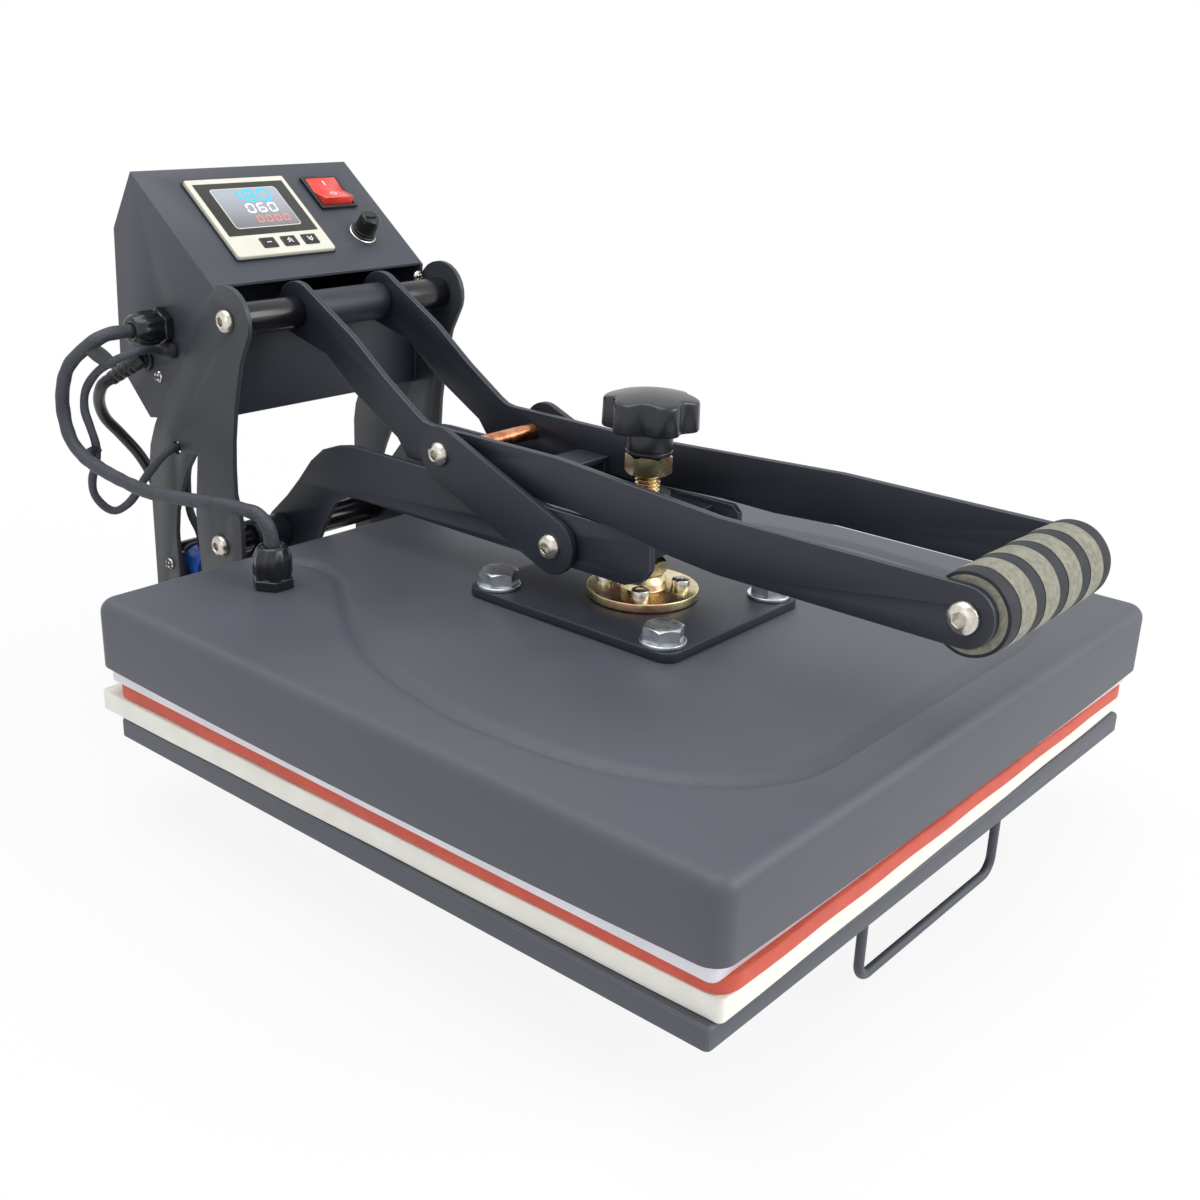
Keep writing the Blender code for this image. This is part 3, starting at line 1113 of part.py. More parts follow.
put(wool, platen_seat, (0, 0, (wool_top + wool_under) / 2))

cover = pan("heater_cover", COVER_WIDTH, COVER_DEPTH, COVER_HEIGHT, COVER_SHEET, COVER_ROUND, CHARCOAL)
put(cover, platen_seat, (0, 0, COVER_TOP))

plate_outline = rounded_rectangle(PLATE_WIDTH, PLATE_DEPTH, PLATE_CORNER)
plate = as_mesh(flat("mounting_plate", plate_outline, [], PLATE_SHEET, BLACK_COAT))
put(plate, platen_seat, plate_middle)
for i, (x, y) in enumerate(hangers):
    washer = rod(f"washer_{i}", WASHER_RADIUS, PLATE_SHEET / 2 + WASHER)
    combine(plate, "UNION", put(washer, platen_seat, (x, y, plate_middle.z)))
    head = rod(f"hanger_head_{i}", HANGER_HEAD_RADIUS, PLATE_SHEET / 2 + WASHER + HANGER_HEAD, HEXAGON)
    combine(plate, "UNION", put(head, platen_seat, (x, y, plate_middle.z)))
    shank = rod(f"hanger_shank_{i}", HANGER_RADIUS, plate_middle.z - PLATEN_TOP - FIT, SMALL_STEPS)
    combine(plate, "UNION", put(shank, platen_seat, (x, y, PLATEN_TOP + FIT)))
    drill(cover, f"hanger_hole_{i}", HANGER_RADIUS + HANGER_PLAY, (x, y, COVER_TOP), None, platen_seat)

# Swivel flange under the screw, held by four socket screws
FLANGE_RADIUS = 0.0305
FLANGE_SHEET = 0.005
HUB_RADIUS = 0.013
HUB_SHOULDER_RADIUS = 0.0105
HUB_HEIGHT = 0.0075
SOCKET_CIRCLE_RADIUS = 0.0205
SOCKET_HEAD_RADIUS = 0.005
SOCKET_HEAD = 0.005
SOCKET_TURN = math.radians(35)
SWIVEL_CLEARANCE = 0.0006

flange_under = Vector((0, SCREW_FOOT.y, plate_under + PLATE_SHEET + FIT))
FLANGE_PROFILE = [
    (HUB_SHOULDER_RADIUS, FLANGE_SHEET + HUB_HEIGHT),
    (HUB_RADIUS, FLANGE_SHEET + HUB_HEIGHT / 2),
    (HUB_RADIUS, FLANGE_SHEET),
    (FLANGE_RADIUS, FLANGE_SHEET),
    (FLANGE_RADIUS, 0),
    (THREAD_RADIUS + SWIVEL_CLEARANCE, 0),
    (THREAD_RADIUS + SWIVEL_CLEARANCE, FLANGE_SHEET + HUB_HEIGHT),
]
flange = turned("swivel_flange", FLANGE_PROFILE, YELLOW_ZINC, hollow=True)
put(flange, platen_seat, flange_under)
for i in range(4):
    turn = SOCKET_TURN + i * math.pi / 2
    spot = flange_under + Vector((math.cos(turn), math.sin(turn), 0)) * SOCKET_CIRCLE_RADIUS
    socket_head = rod(f"socket_screw_{i}", SOCKET_HEAD_RADIUS, FLANGE_SHEET / 2 + SOCKET_HEAD, SMALL_STEPS)
    place = spot + Vector((0, 0, FLANGE_SHEET / 2))
    combine(flange, "UNION", put(socket_head, platen_seat, place))

# Gland of the heater's lead, on the cover's rear left
cover_gland = turned("cover_gland", GLAND_PROFILE, BLACK_PLASTIC, HEXAGON)
put(cover_gland, platen_seat, cover_gland_place)
drill(cover, "cover_gland_hole", GLAND_NECK_RADIUS + HOLE_PLAY, cover_gland_place, None, platen_seat)

# Pressure screw with its captive nut, the lock nut and the star knob, turning together
SCREW_LENGTH = 0.0925
CAPTIVE_NUT_RADIUS = 0.0125
CAPTIVE_NUT = 0.0080
LOCK_NUT_RADIUS = 0.0127
LOCK_NUT = 0.0110
KNOB_ABOVE_COVER = 0.0847
KNOB_HUB_RADIUS = 0.0125
KNOB_HUB = 0.013
KNOB_RADIUS = 0.0257
KNOB_WAIST_SHARE = 0.82
KNOB_HEIGHT = 0.020
KNOB_LOBES = 6
KNOB_LOBE_STEPS = 12
KNOB_SOCKET = 0.016

screw_seat = group("screw_turn", SCREW_FOOT, platen_seat)
screw_under = flange_under + Vector((0, 0, FIT))
screw = turned("pressure_screw", column(THREAD_RADIUS, SCREW_LENGTH), YELLOW_ZINC)
put(screw, screw_seat, screw_under)
captive = rod("captive_nut", CAPTIVE_NUT_RADIUS, CAPTIVE_NUT, HEXAGON)
captive_place = flange_under + Vector((0, 0, FLANGE_SHEET + HUB_HEIGHT + FIT))
combine(screw, "UNION", put(captive, screw_seat, captive_place))

knob_under = SCREW_FOOT + Vector((0, 0, KNOB_ABOVE_COVER))
nut_outline = circle(0, 0, LOCK_NUT_RADIUS, HEXAGON)
nut = flat("lock_nut", nut_outline, [circle(0, 0, THREAD_RADIUS + FIT, TURN_STEPS)], LOCK_NUT, YELLOW_ZINC)
put(nut, screw_seat, knob_under - Vector((0, 0, FIT + LOCK_NUT / 2)))

knob_mean = KNOB_RADIUS * (1 + KNOB_WAIST_SHARE) / 2
knob_swing = KNOB_RADIUS * (1 - KNOB_WAIST_SHARE) / 2
knob_steps = KNOB_LOBES * KNOB_LOBE_STEPS
knob_outline = []
for i in range(knob_steps):
    turn = 2 * math.pi * i / knob_steps
    reach = knob_mean + knob_swing * math.cos(KNOB_LOBES * turn)
    knob_outline.append((reach * math.cos(turn), reach * math.sin(turn)))
knob = as_mesh(flat("knob", knob_outline, [], KNOB_HEIGHT, BLACK_PLASTIC))
put(knob, screw_seat, knob_under + Vector((0, 0, KNOB_HUB + KNOB_HEIGHT / 2)))
hub = rod("knob_hub", KNOB_HUB_RADIUS, KNOB_HUB + KNOB_HEIGHT / 2)
combine(knob, "UNION", put(hub, screw_seat, knob_under))
socket = rod("knob_socket", THREAD_RADIUS + FIT, KNOB_SOCKET + OVERRUN)
combine(knob, "DIFFERENCE", put(socket, screw_seat, knob_under - Vector((0, 0, OVERRUN))))

# Handle: two cranked arms from the top pivot forward to the grip. Ahead of the links they spread apart.
ARM_ROUND = 0.018
ARM_ROUND_TURN = (-38, 128)
ARM_END_ROUND = 0.0141
ARM_END_TURN = (90, 270)
ARM_SPREAD = 0.021
SPREAD_BEHIND_LINK_FOOT = 0.006
SPREAD_LENGTH = 0.12
PIN_RADIUS = 0.0048
ARM_UPPER_SHARES = (
    (0.11, 0.87), (0.17, 0.551), (0.227, 0.288), (0.239, 0.243), (0.251, 0.229),
)
ARM_LOWER_SHARES = (
    (0.645, -0.229), (0.577, -0.189), (0.209, -0.146),
    (0.191, 0.021), (0.111, 0.346), (0.058, 0.646),
)

handle = group("handle_axis", HANDLE_PIVOT, frame_seat)
arm_reach = HANDLE_PIVOT.y - GRIP.y
arm_rise = HANDLE_PIVOT.z - GRIP.z
grip_point = (-arm_reach, -arm_rise)


def arm_edge(shares):
    return [(-across * arm_reach, up * arm_rise - arm_rise) for across, up in shares]


arm_outline = (
    arc(0, 0, ARM_ROUND, *ARM_ROUND_TURN, PLATE_END_STEPS)
    + arm_edge(ARM_UPPER_SHARES)
    + arc(*grip_point, ARM_END_ROUND, *ARM_END_TURN, PLATE_END_STEPS)
    + arm_edge(ARM_LOWER_SHARES)
)
arm_holes = [
    circle(0, 0, HANDLE_CORE_RADIUS + FIT),
    circle(*side(LINK_HEAD - HANDLE_PIVOT), PIN_RADIUS + FIT),
    circle(*grip_point, BOLT_RADIUS + FIT),
]
spread_start = LINK_FOOT.y + SPREAD_BEHIND_LINK_FOOT - HANDLE_PIVOT.y
arm_line = [
    (ARM_INNER, ARM_ROUND + OVERRUN),
    (ARM_INNER, spread_start),
    (ARM_INNER + ARM_SPREAD, spread_start - SPREAD_LENGTH),
    (ARM_INNER + ARM_SPREAD, -arm_reach - ARM_END_ROUND - OVERRUN),
]
arm_width = ARM_SPREAD + ARM_SHEET + 2 * OVERRUN
arm_height = arm_rise + 2 * (ARM_ROUND + OVERRUN)
arm_middle = ARM_INNER + (ARM_SPREAD + ARM_SHEET) / 2
for hand, sign in SIDES:
    arm = as_mesh(flat(f"{hand}_handle_arm", arm_outline, arm_holes, arm_width, BLACK_COAT))
    put(arm, handle, HANDLE_PIVOT + sign * Vector((arm_middle, 0, 0)), SIDE_VIEW)
    arm_plan = [(sign * across, along) for across, along in arm_line]
    arm_plan += [(sign * (across + ARM_SHEET), along) for across, along in reversed(arm_line)]
    strip = as_mesh(flat(f"{hand}_arm_plan", arm_plan, [], arm_height, None, cutters))
    combine(arm, "INTERSECT", put(strip, handle, HANDLE_PIVOT - Vector((0, 0, arm_rise / 2))))

inner_face = ARM_INNER - FIT
tube_bore = HANDLE_CORE_RADIUS + FIT
handle_tube = ring("handle_tube", HANDLE_TUBE_RADIUS, tube_bore, -inner_face, inner_face, BLACK_COAT)
put(handle_tube, handle, HANDLE_PIVOT, TO_RIGHT)

# Handle rest: a folded strap that stands between the arms on two feet at the carrier plates, in the front view
REST_DEPTH = 0.022
REST_SHEET = 0.003
REST_HEIGHT = 0.029
REST_ABOVE_COVER = 0.0662
REST_BEHIND_SCREW = 0.064
rest_reach = CARRIER_INNER - FIT
rest_half = [
    (inner_face, 0),
    (inner_face, REST_SHEET - REST_HEIGHT),
    (rest_reach, REST_SHEET - REST_HEIGHT),
    (rest_reach, -REST_HEIGHT),
    (inner_face - REST_SHEET, -REST_HEIGHT),
    (inner_face - REST_SHEET, -REST_SHEET),
]
rest_outline = rest_half + [(-across, up) for across, up in reversed(rest_half)]
rest = flat("handle_rest", rest_outline, [], REST_DEPTH, BLACK_COAT)
put(rest, carrier, SCREW_FOOT + Vector((0, REST_BEHIND_SCREW, REST_ABOVE_COVER)), FRONT_VIEW)

# Pin through both arms at the links, with a spacer collar outside each arm
PIN_COLLAR_RADIUS = 0.009
pin_half = [
    (0, LINK_INNER - FIT),
    (PIN_COLLAR_RADIUS, LINK_INNER - FIT),
    (PIN_COLLAR_RADIUS, ARM_OUTER + FIT),
    (PIN_RADIUS, ARM_OUTER + FIT),
]
put(turned("link_pin", both_ends(pin_half), COPPER), handle, LINK_HEAD, TO_RIGHT)

# Grip: a rod bolted between the arms, with a foam sleeve
GRIP_ROD_RADIUS = 0.008
GRIP_HEAD_RADIUS = 0.008
grip_end = inner_face + ARM_SPREAD
grip_head = ARM_OUTER + ARM_SPREAD + FIT
grip_half = [
    (0, grip_head + BOLT_HEAD_HEIGHT),
    (BOLT_CROWN_SHARE * GRIP_HEAD_RADIUS, grip_head + BOLT_HEAD_HEIGHT),
    (GRIP_HEAD_RADIUS, grip_head + BOLT_RIM_SHARE * BOLT_HEAD_HEIGHT),
    (GRIP_HEAD_RADIUS, grip_head),
    (BOLT_RADIUS, grip_head),
    (BOLT_RADIUS, grip_end),
    (GRIP_ROD_RADIUS, grip_end),
]
put(turned("grip_rod", both_ends(grip_half), BRIGHT_STEEL), handle, GRIP, TO_RIGHT)
foam = ring("grip_foam", FOAM_RADIUS, GRIP_ROD_RADIUS + FIT, -grip_end, grip_end, OLIVE_FOAM)
put(foam, handle, GRIP, TO_RIGHT)

# Links from the handle's pin down to the carrier plates, outside both
LINK_ROUND = 0.0155
link_seat = group("link_axis", LINK_FOOT, carrier)
link_outline = strap_outline((0, 0), LINK_ROUND, side(LINK_HEAD - LINK_FOOT), LINK_ROUND)
for hand, sign in SIDES:
    link = as_mesh(flat(f"{hand}_link", link_outline, [], LINK_SHEET, BLACK_COAT))
    link_x = Vector((sign * (LINK_INNER + LINK_SHEET / 2), 0, 0))
    put(link, link_seat, LINK_FOOT + link_x, SIDE_VIEW)
    outward = TO_RIGHT if sign > 0 else TO_LEFT
    foot_bolt = bolt_end(LINK_SHEET / 2 - FIT, LINK_SHEET / 2 - FIT - OVERRUN, LINK_PIN_RADIUS)
    foot_bolt += [(LINK_PIN_RADIUS, CARRIER_INNER - LINK_INNER - LINK_SHEET / 2)]
    foot_bolt += [(0, CARRIER_INNER - LINK_INNER - LINK_SHEET / 2)]
    bolt = turned(f"{hand}_link_foot_bolt", foot_bolt, None, collection=cutters)
    combine(link, "UNION", put(bolt, link_seat, LINK_FOOT + link_x, outward))
    head_bolt = bolt_end(LINK_SHEET / 2 - FIT, 0) + [(0, 0)]
    bolt = turned(f"{hand}_link_head_bolt", head_bolt, None, collection=cutters)
    combine(link, "UNION", put(bolt, link_seat, LINK_HEAD + link_x, outward))

# Free leads. Their points are counted from the datum
HEATER_LEAD_RADIUS = 0.004
MAGNET_LEAD_RADIUS = 0.0025
MAINS_LEAD_RADIUS = 0.0037
HEATER_STEP = 0.016
MAGNET_STEP = 0.009
MAINS_STEP = 0.015
gland_tip = Vector((0, 0, GLAND_TIP + FIT))
heater_route = [
    cover_gland_place + gland_tip,
    (-0.1250, 0.1550, 0.1052),
    (-0.1255, 0.1569, 0.1120),
    (-0.1265, 0.1620, 0.1171),
    (-0.1285, 0.1695, 0.1189),
    (-0.1310, 0.1893, 0.1183),
    (-0.1330, 0.2067, 0.1168),
    (-0.1350, 0.2257, 0.1150),
    (-0.1370, 0.2511, 0.1134),
    (-0.1380, 0.2745, 0.1149),
    (-0.1390, 0.2963, 0.1181),
    (-0.1390, 0.3130, 0.1220),
    (-0.1392, 0.3258, 0.1302),
    (-0.1392, 0.3312, 0.1450),
    (-0.1390, 0.3300, 0.1600),
    (-0.1375, 0.3230, 0.1750),
    (-0.1315, 0.3115, 0.1872),
    (-0.1225, 0.3072, 0.1930),
    (-0.1130, 0.3067, 0.1940),
    box_gland_place - Vector((GLAND_TIP + FIT, 0, 0)),
]
heater_lead = tube("heater_lead", smooth_route(heater_route, HEATER_STEP), HEATER_LEAD_RADIUS, SLEEVE)
put(heater_lead, frame_seat, (0, 0, 0))
magnet_route = [
    grommet_place - Vector((GROMMET_TIP + FIT, 0, 0)),
    (-0.0910, 0.2987, 0.1808),
    (-0.1010, 0.2950, 0.1840),
    (-0.1130, 0.2915, 0.1845),
    (-0.1230, 0.2975, 0.1800),
    (-0.1280, 0.3090, 0.1720),
    (-0.1305, 0.3190, 0.1600),
    (-0.1310, 0.3215, 0.1480),
    (-0.1305, 0.3180, 0.1380),
    (-0.1290, 0.3160, 0.1270),
    (-0.1280, 0.3190, 0.1150),
    (-0.1280, 0.3250, 0.1034),
    (-0.1260, 0.3276, 0.0928),
    (-0.1215, 0.3245, 0.0845),
    (-0.1170, 0.3200, 0.0820),
    (-0.1120, 0.3150, 0.0860),
    (-0.1080, 0.3110, 0.0925),
    (-0.1030, 0.3080, 0.1020),
    (-0.0965, 0.3010, 0.1140),
    (-0.0910, 0.2975, 0.1200),
    (-0.0840, 0.2973, 0.1212),
    (-0.0770, 0.2977, 0.1200),
    (-0.0735, 0.3020, 0.1130),
    (-0.0730, 0.3075, 0.0950),
    (-0.0710, 0.3095, 0.0750),
    (-0.0655, 0.3098, 0.0600),
    (-0.0640, 0.3098, 0.0540),
    (-0.0640, 0.3098, 0.0486),
]
magnet_lead = tube("magnet_lead", smooth_route(magnet_route, MAGNET_STEP), MAGNET_LEAD_RADIUS, SLEEVE)
put(magnet_lead, frame_seat, (0, 0, 0))

# Mains lead: down behind the box and the uprights to a coil and a plug on the bench
COIL_CENTRE = Vector((-0.005, 0.402, 0))
COIL_INNER_RADIUS = 0.031
COIL_PITCH = 0.0081
COIL_TURNS = 5.25
COIL_LOOP_POINTS = 24
COIL_TAIL = 0.030
COIL_CLIMB_SHARE = 0.25
PLUG_WIDTH = 0.026
PLUG_THICKNESS = 0.018
PLUG_LENGTH = 0.036
PLUG_ROUND = 0.004
PLUG_NECK = 0.018
PLUG_NECK_RADIUS = 0.0062
BLADE_SIZE = (0.017, 0.0015, 0.0063)
BLADE_PITCH = 0.0127
EARTH_PIN_RADIUS = 0.0024
EARTH_PIN = 0.021
EARTH_PIN_RISE = 0.0045
BLADE_DROP = 0.0035

lead_floor = BENCH + MAINS_LEAD_RADIUS
lead_width = 2 * MAINS_LEAD_RADIUS


def coil_place(turns):
    """A point of the coil: in to its inner radius and out again, a layer higher on the way out."""
    from_middle = turns - COIL_TURNS / 2
    radius = COIL_INNER_RADIUS + COIL_PITCH * abs(from_middle)
    climb = min(1, max(0, (from_middle + COIL_CLIMB_SHARE) / (2 * COIL_CLIMB_SHARE)))
    height = lead_floor + COIL_PITCH * (3 * climb**2 - 2 * climb**3)
    turn = math.pi - 2 * math.pi * turns
    return COIL_CENTRE + Vector((radius * math.cos(turn), radius * math.sin(turn), height))


wound = [coil_place(i / COIL_LOOP_POINTS) for i in range(round(COIL_TURNS * COIL_LOOP_POINTS) + 1)]
coil_start = wound[0] - Vector((0, lead_width, 0))
coil_exit = wound[-1] + Vector((COIL_TAIL, 0, 0))
plug_axis = BENCH + PLUG_THICKNESS / 2
coil_end = Vector((coil_exit.x + lead_width, coil_exit.y, plug_axis))
coil_points = [coil_start] + wound + [coil_exit, coil_end, coil_end + Vector((lead_width, 0, 0))]
mains_coil = tube("mains_coil", coil_points, MAINS_LEAD_RADIUS, BLACK_PLASTIC, 1)
put(mains_coil, frame_seat, (0, 0, 0))
least = min(
    (there - here).length
    for i, here in enumerate(wound)
    for there in wound[i + COIL_LOOP_POINTS // 2:]
)
print("least gap between the coil's turns", round(least - lead_width, 5))

mains_route = [
    relief_tip + FIT * RELIEF_HEADING,
    relief_tip + 2 * MAINS_LEAD_RADIUS * RELIEF_HEADING,
    (-0.0985, 0.3590, 0.1420),
    (-0.0915, 0.3655, 0.1285),
    (-0.0800, 0.3670, 0.1150),
    (-0.0690, 0.3640, 0.0990),
    (-0.0620, 0.3600, 0.0800),
    (-0.0590, 0.3570, 0.0550),
    (-0.0580, 0.3555, 0.0200),
    (-0.0580, 0.3560, -0.0050),
    (-0.0583, 0.3590, -0.0240),
    (-0.0580, 0.3660, -0.0380),
    (-0.0575, 0.3770, -0.0450),
    coil_start - Vector((0, lead_width, 0)),
    coil_start - Vector((0, FIT, 0)),
]
mains_lead = tube("mains_lead", smooth_route(mains_route, MAINS_STEP), MAINS_LEAD_RADIUS, BLACK_PLASTIC)
put(mains_lead, frame_seat, (0, 0, 0))

neck_start = coil_points[-1] + Vector((FIT, 0, 0))
plug_middle = neck_start + Vector((PLUG_NECK + PLUG_LENGTH / 2, 0, 0))
plug = block("plug", (PLUG_LENGTH, PLUG_WIDTH, PLUG_THICKNESS), BLACK_PLASTIC, PLUG_ROUND, press)
put(plug, frame_seat, plug_middle)
neck = rod("plug_neck", MAINS_LEAD_RADIUS + FIT, PLUG_NECK + OVERRUN, SMALL_STEPS, PLUG_NECK_RADIUS)
combine(plug, "UNION", put(neck, frame_seat, neck_start, TO_RIGHT))
plug_face = plug_middle + Vector((PLUG_LENGTH / 2, 0, 0))
for hand, sign in SIDES:
    blade = block(f"{hand}_plug_blade", (BLADE_SIZE[0] + OVERRUN, BLADE_SIZE[1], BLADE_SIZE[2]))
    blade_place = plug_face + Vector(((BLADE_SIZE[0] - OVERRUN) / 2, sign * BLADE_PITCH / 2, -BLADE_DROP))
    combine(plug, "UNION", put(blade, frame_seat, blade_place))
earth = rod("plug_earth_pin", EARTH_PIN_RADIUS, EARTH_PIN + OVERRUN, SMALL_STEPS)
earth_place = plug_face + Vector((-OVERRUN, 0, EARTH_PIN_RISE))
combine(plug, "UNION", put(earth, frame_seat, earth_place, TO_RIGHT))
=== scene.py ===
import bpy
import math
import numpy as np
from mathutils import Matrix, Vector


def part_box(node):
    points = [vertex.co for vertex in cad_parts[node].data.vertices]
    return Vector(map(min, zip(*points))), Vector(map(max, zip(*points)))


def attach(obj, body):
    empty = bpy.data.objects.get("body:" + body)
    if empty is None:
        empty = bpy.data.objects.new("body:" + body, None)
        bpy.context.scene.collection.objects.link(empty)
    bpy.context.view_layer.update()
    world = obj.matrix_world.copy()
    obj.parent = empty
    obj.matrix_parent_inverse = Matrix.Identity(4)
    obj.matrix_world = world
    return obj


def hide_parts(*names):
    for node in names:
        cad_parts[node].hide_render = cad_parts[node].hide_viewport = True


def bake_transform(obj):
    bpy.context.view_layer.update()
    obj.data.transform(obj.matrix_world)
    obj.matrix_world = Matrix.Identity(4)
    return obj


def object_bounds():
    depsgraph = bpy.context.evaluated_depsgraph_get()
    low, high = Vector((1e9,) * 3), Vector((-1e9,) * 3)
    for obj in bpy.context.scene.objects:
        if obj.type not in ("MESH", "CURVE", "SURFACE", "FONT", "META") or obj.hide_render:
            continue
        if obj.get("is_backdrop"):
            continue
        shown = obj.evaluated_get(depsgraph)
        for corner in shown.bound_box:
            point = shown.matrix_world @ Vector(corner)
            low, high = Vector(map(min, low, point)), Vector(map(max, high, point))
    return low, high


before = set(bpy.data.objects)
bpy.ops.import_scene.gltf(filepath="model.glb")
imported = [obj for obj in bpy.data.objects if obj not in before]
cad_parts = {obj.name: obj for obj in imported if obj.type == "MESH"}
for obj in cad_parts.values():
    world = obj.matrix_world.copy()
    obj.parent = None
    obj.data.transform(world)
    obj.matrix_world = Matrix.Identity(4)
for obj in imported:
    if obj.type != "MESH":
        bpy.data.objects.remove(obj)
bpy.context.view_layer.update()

# Base frame: square steel tubes welded into a rectangle, with a seat bar under the uprights, all powder
# coated black. Four turned rubber feet are screwed under its rails.


def paint(colour):
    """A hex colour of a screen as linear light: a power of 2.4 with a straight toe."""
    screen = np.array([int(colour[i:i + 2], 16) for i in (1, 3, 5)]) / 255
    linear = np.where(screen <= 0.04045, screen / 12.92, ((screen + 0.055) / 1.055) ** 2.4)
    return (*linear.tolist(), 1.0)


def wire(tree, name, sockets):
    """Gives the sockets of a node their values or the outputs of other nodes."""
    inputs = tree.nodes[name].inputs
    for socket, value in sockets.items():
        if isinstance(value, bpy.types.NodeSocket):
            tree.links.new(value, inputs[socket])
        else:
            inputs[socket].default_value = value


def node(tree, kind, sockets=None, output=0, **settings):
    """One output of a new shader node with its settings and sockets."""
    made = tree.nodes.new("ShaderNode" + kind)
    for name, value in settings.items():
        setattr(made, name, value)
    wire(tree, made.name, sockets or {})
    return made.outputs[output]


def ramp(tree, share, stops):
    """Colours that follow one another as a share grows, each from its own stop."""
    made = node(tree, "ValToRGB", {"Fac": share})
    points = made.node.color_ramp.elements
    while len(points) < len(stops):
        points.new(1.0)
    for point, (place, colour) in zip(points, stops):
        point.position = place
        point.color = paint(colour)
    return made


def noise(tree, where, size, detail=3.0):
    """A cloud of values around a half, whose lumps are size millimetres across."""
    sockets = {"Vector": where, "Scale": 1000 / size, "Detail": detail, "Roughness": 0.55}
    return node(tree, "TexNoise", sockets)


def bump(tree, height, depth, strength=1.0):
    """A surface that a pattern lifts by up to a depth in millimetres."""
    return node(tree, "Bump", {"Height": height, "Distance": depth / 1000, "Strength": strength})


SLOTS = {}


def finish(name, colours, rough, cloud, grain, depth, slot=None, sockets=None):
    """A finish from two noises: a broad cloud mixes two colours and swings the roughness between two
    values, and a fine grain lifts the surface by its depth. Cloud, grain and depth are millimetres, and
    the slot is the name that the piece's finish goes by."""
    made = bpy.data.materials.new(name)
    made.use_nodes = True
    tree = made.node_tree
    where = node(tree, "TexCoord", output="Object")
    broad = noise(tree, where, cloud)
    swing = {"Value": broad, "From Min": 0.3, "From Max": 0.7, "To Min": rough[0], "To Max": rough[1]}
    wire(tree, "Principled BSDF", {
        "Base Color": ramp(tree, broad, [*zip((0.36, 0.64), colours.split())]),
        "Roughness": node(tree, "MapRange", swing),
        "Normal": bump(tree, noise(tree, where, grain), depth), **(sockets or {}),
    })
    SLOTS[made.name] = slot
    return made


def dress(names, material, edge, rim=None):
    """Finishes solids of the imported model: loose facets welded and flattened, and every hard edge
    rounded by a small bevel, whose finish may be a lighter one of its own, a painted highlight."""
    for name in names.split():
        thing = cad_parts[name]
        thing.data.materials.clear()
        thing.data.materials.append(material)
        if rim:
            thing.data.materials.append(rim)
        thing.data.shade_smooth()
        thing.modifiers.new("weld", "WELD").merge_threshold = 0.00002
        flat = thing.modifiers.new("flatten", "DECIMATE")
        flat.decimate_type = "DISSOLVE"
        flat.angle_limit = math.radians(1)
        soft = thing.modifiers.new("round", "BEVEL")
        soft.width = edge / 1000
        soft.segments = 2
        soft.limit_method = "ANGLE"
        soft.angle_limit = math.radians(28)
        soft.harden_normals = True
        # The bevels take the second finish: a painted highlight on the edges
        soft.material = 1 if rim else -1


# Black powder coat: near black with a blue cast, an even satin with fine orange peel
black_coat = finish("black_powder_coat", "#1f242e #252a35", (0.42, 0.52), 90, 1.4, 0.035, "black_coat")
# The same coat made lighter on the bevels: a painted highlight where the edges catch the light
black_edge_highlight = finish("black_coat_painted_edge_highlight", "#474b55 #545963", (0.36, 0.46), 40, 1.4, 0.02)
# Moulded rubber: dull, a little dusty, with a fine pitted skin
rubber = finish("black_rubber", "#1b1c1e #26272a", (0.68, 0.8), 14, 0.5, 0.05)

dress("base_frame", black_coat, 1.2, black_edge_highlight)
dress("front_left_foot front_right_foot rear_left_foot rear_right_foot", rubber, 0.6)

# Lower table: a folded steel tray on two zinc plated slides, which a bent rod pulls out to the front.
# A pressed board and a red foam mat lie loose on the tray.
DATUM = np.array([0.0, sum(corner.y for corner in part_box("silicone_mat")) / 2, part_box("drawer_tray")[0].z])


def added(name, data):
    """A new object of the scene."""
    made = bpy.data.objects.new(name, data)
    bpy.context.collection.objects.link(made)
    return made


def skin(name, parts, material, body, stands_for="", looped=False, slot=None):
    """One object from closed surfaces. Each part is rows of points in millimetres from the datum, every
    row a loop: quads join a row to the next, and the end rows are filled, or joined when looped."""
    points, faces, lay, first = [], [], [], 0
    for rows in parts:
        count, around = rows.shape[:2]
        index = first + np.arange(count * around).reshape(count, around)
        low, high = (index, np.roll(index, -1, 0)) if looped else (index[:-1], index[1:])
        quads = np.stack([low, np.roll(low, -1, 1), np.roll(high, -1, 1), high], -1)
        faces += quads.reshape(-1, 4).tolist()
        middle = rows.mean(1)
        along = np.append(0, np.cumsum(np.linalg.norm(np.diff(middle, axis=0), axis=1)))
        step = np.broadcast_to(np.arange(around) / around, low.shape)
        start = np.broadcast_to(along[:len(low), None], low.shape)
        end = np.broadcast_to(np.append(along[1:], along[-1])[:len(low), None], low.shape)
        edge = step + 1 / around
        corners = [(step, start), (edge, start), (edge, end), (step, end)]
        lay.append(np.stack([np.stack(corner, -1) for corner in corners], 2).reshape(-1, 2))
        if not looped:
            faces += [index[0, ::-1].tolist(), index[-1].tolist()]
            lay.append(np.zeros((2 * around, 2)))
        points.append(rows.reshape(-1, 3))
        first += count * around
    mesh = bpy.data.meshes.new(name)
    mesh.from_pydata(np.concatenate(points) / 1000 + DATUM, [], faces)
    mesh.uv_layers.new(name="lay").data.foreach_set("uv", np.concatenate(lay).ravel())
    mesh.shade_smooth()
    mesh.set_sharp_from_angle(angle=math.radians(38))
    mesh.materials.append(material)
    thing = added(name, mesh)
    if body:
        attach(thing, body)
    if stands_for:
        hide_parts(*stands_for.split())
    slot = slot or SLOTS[material.name]
    return thing


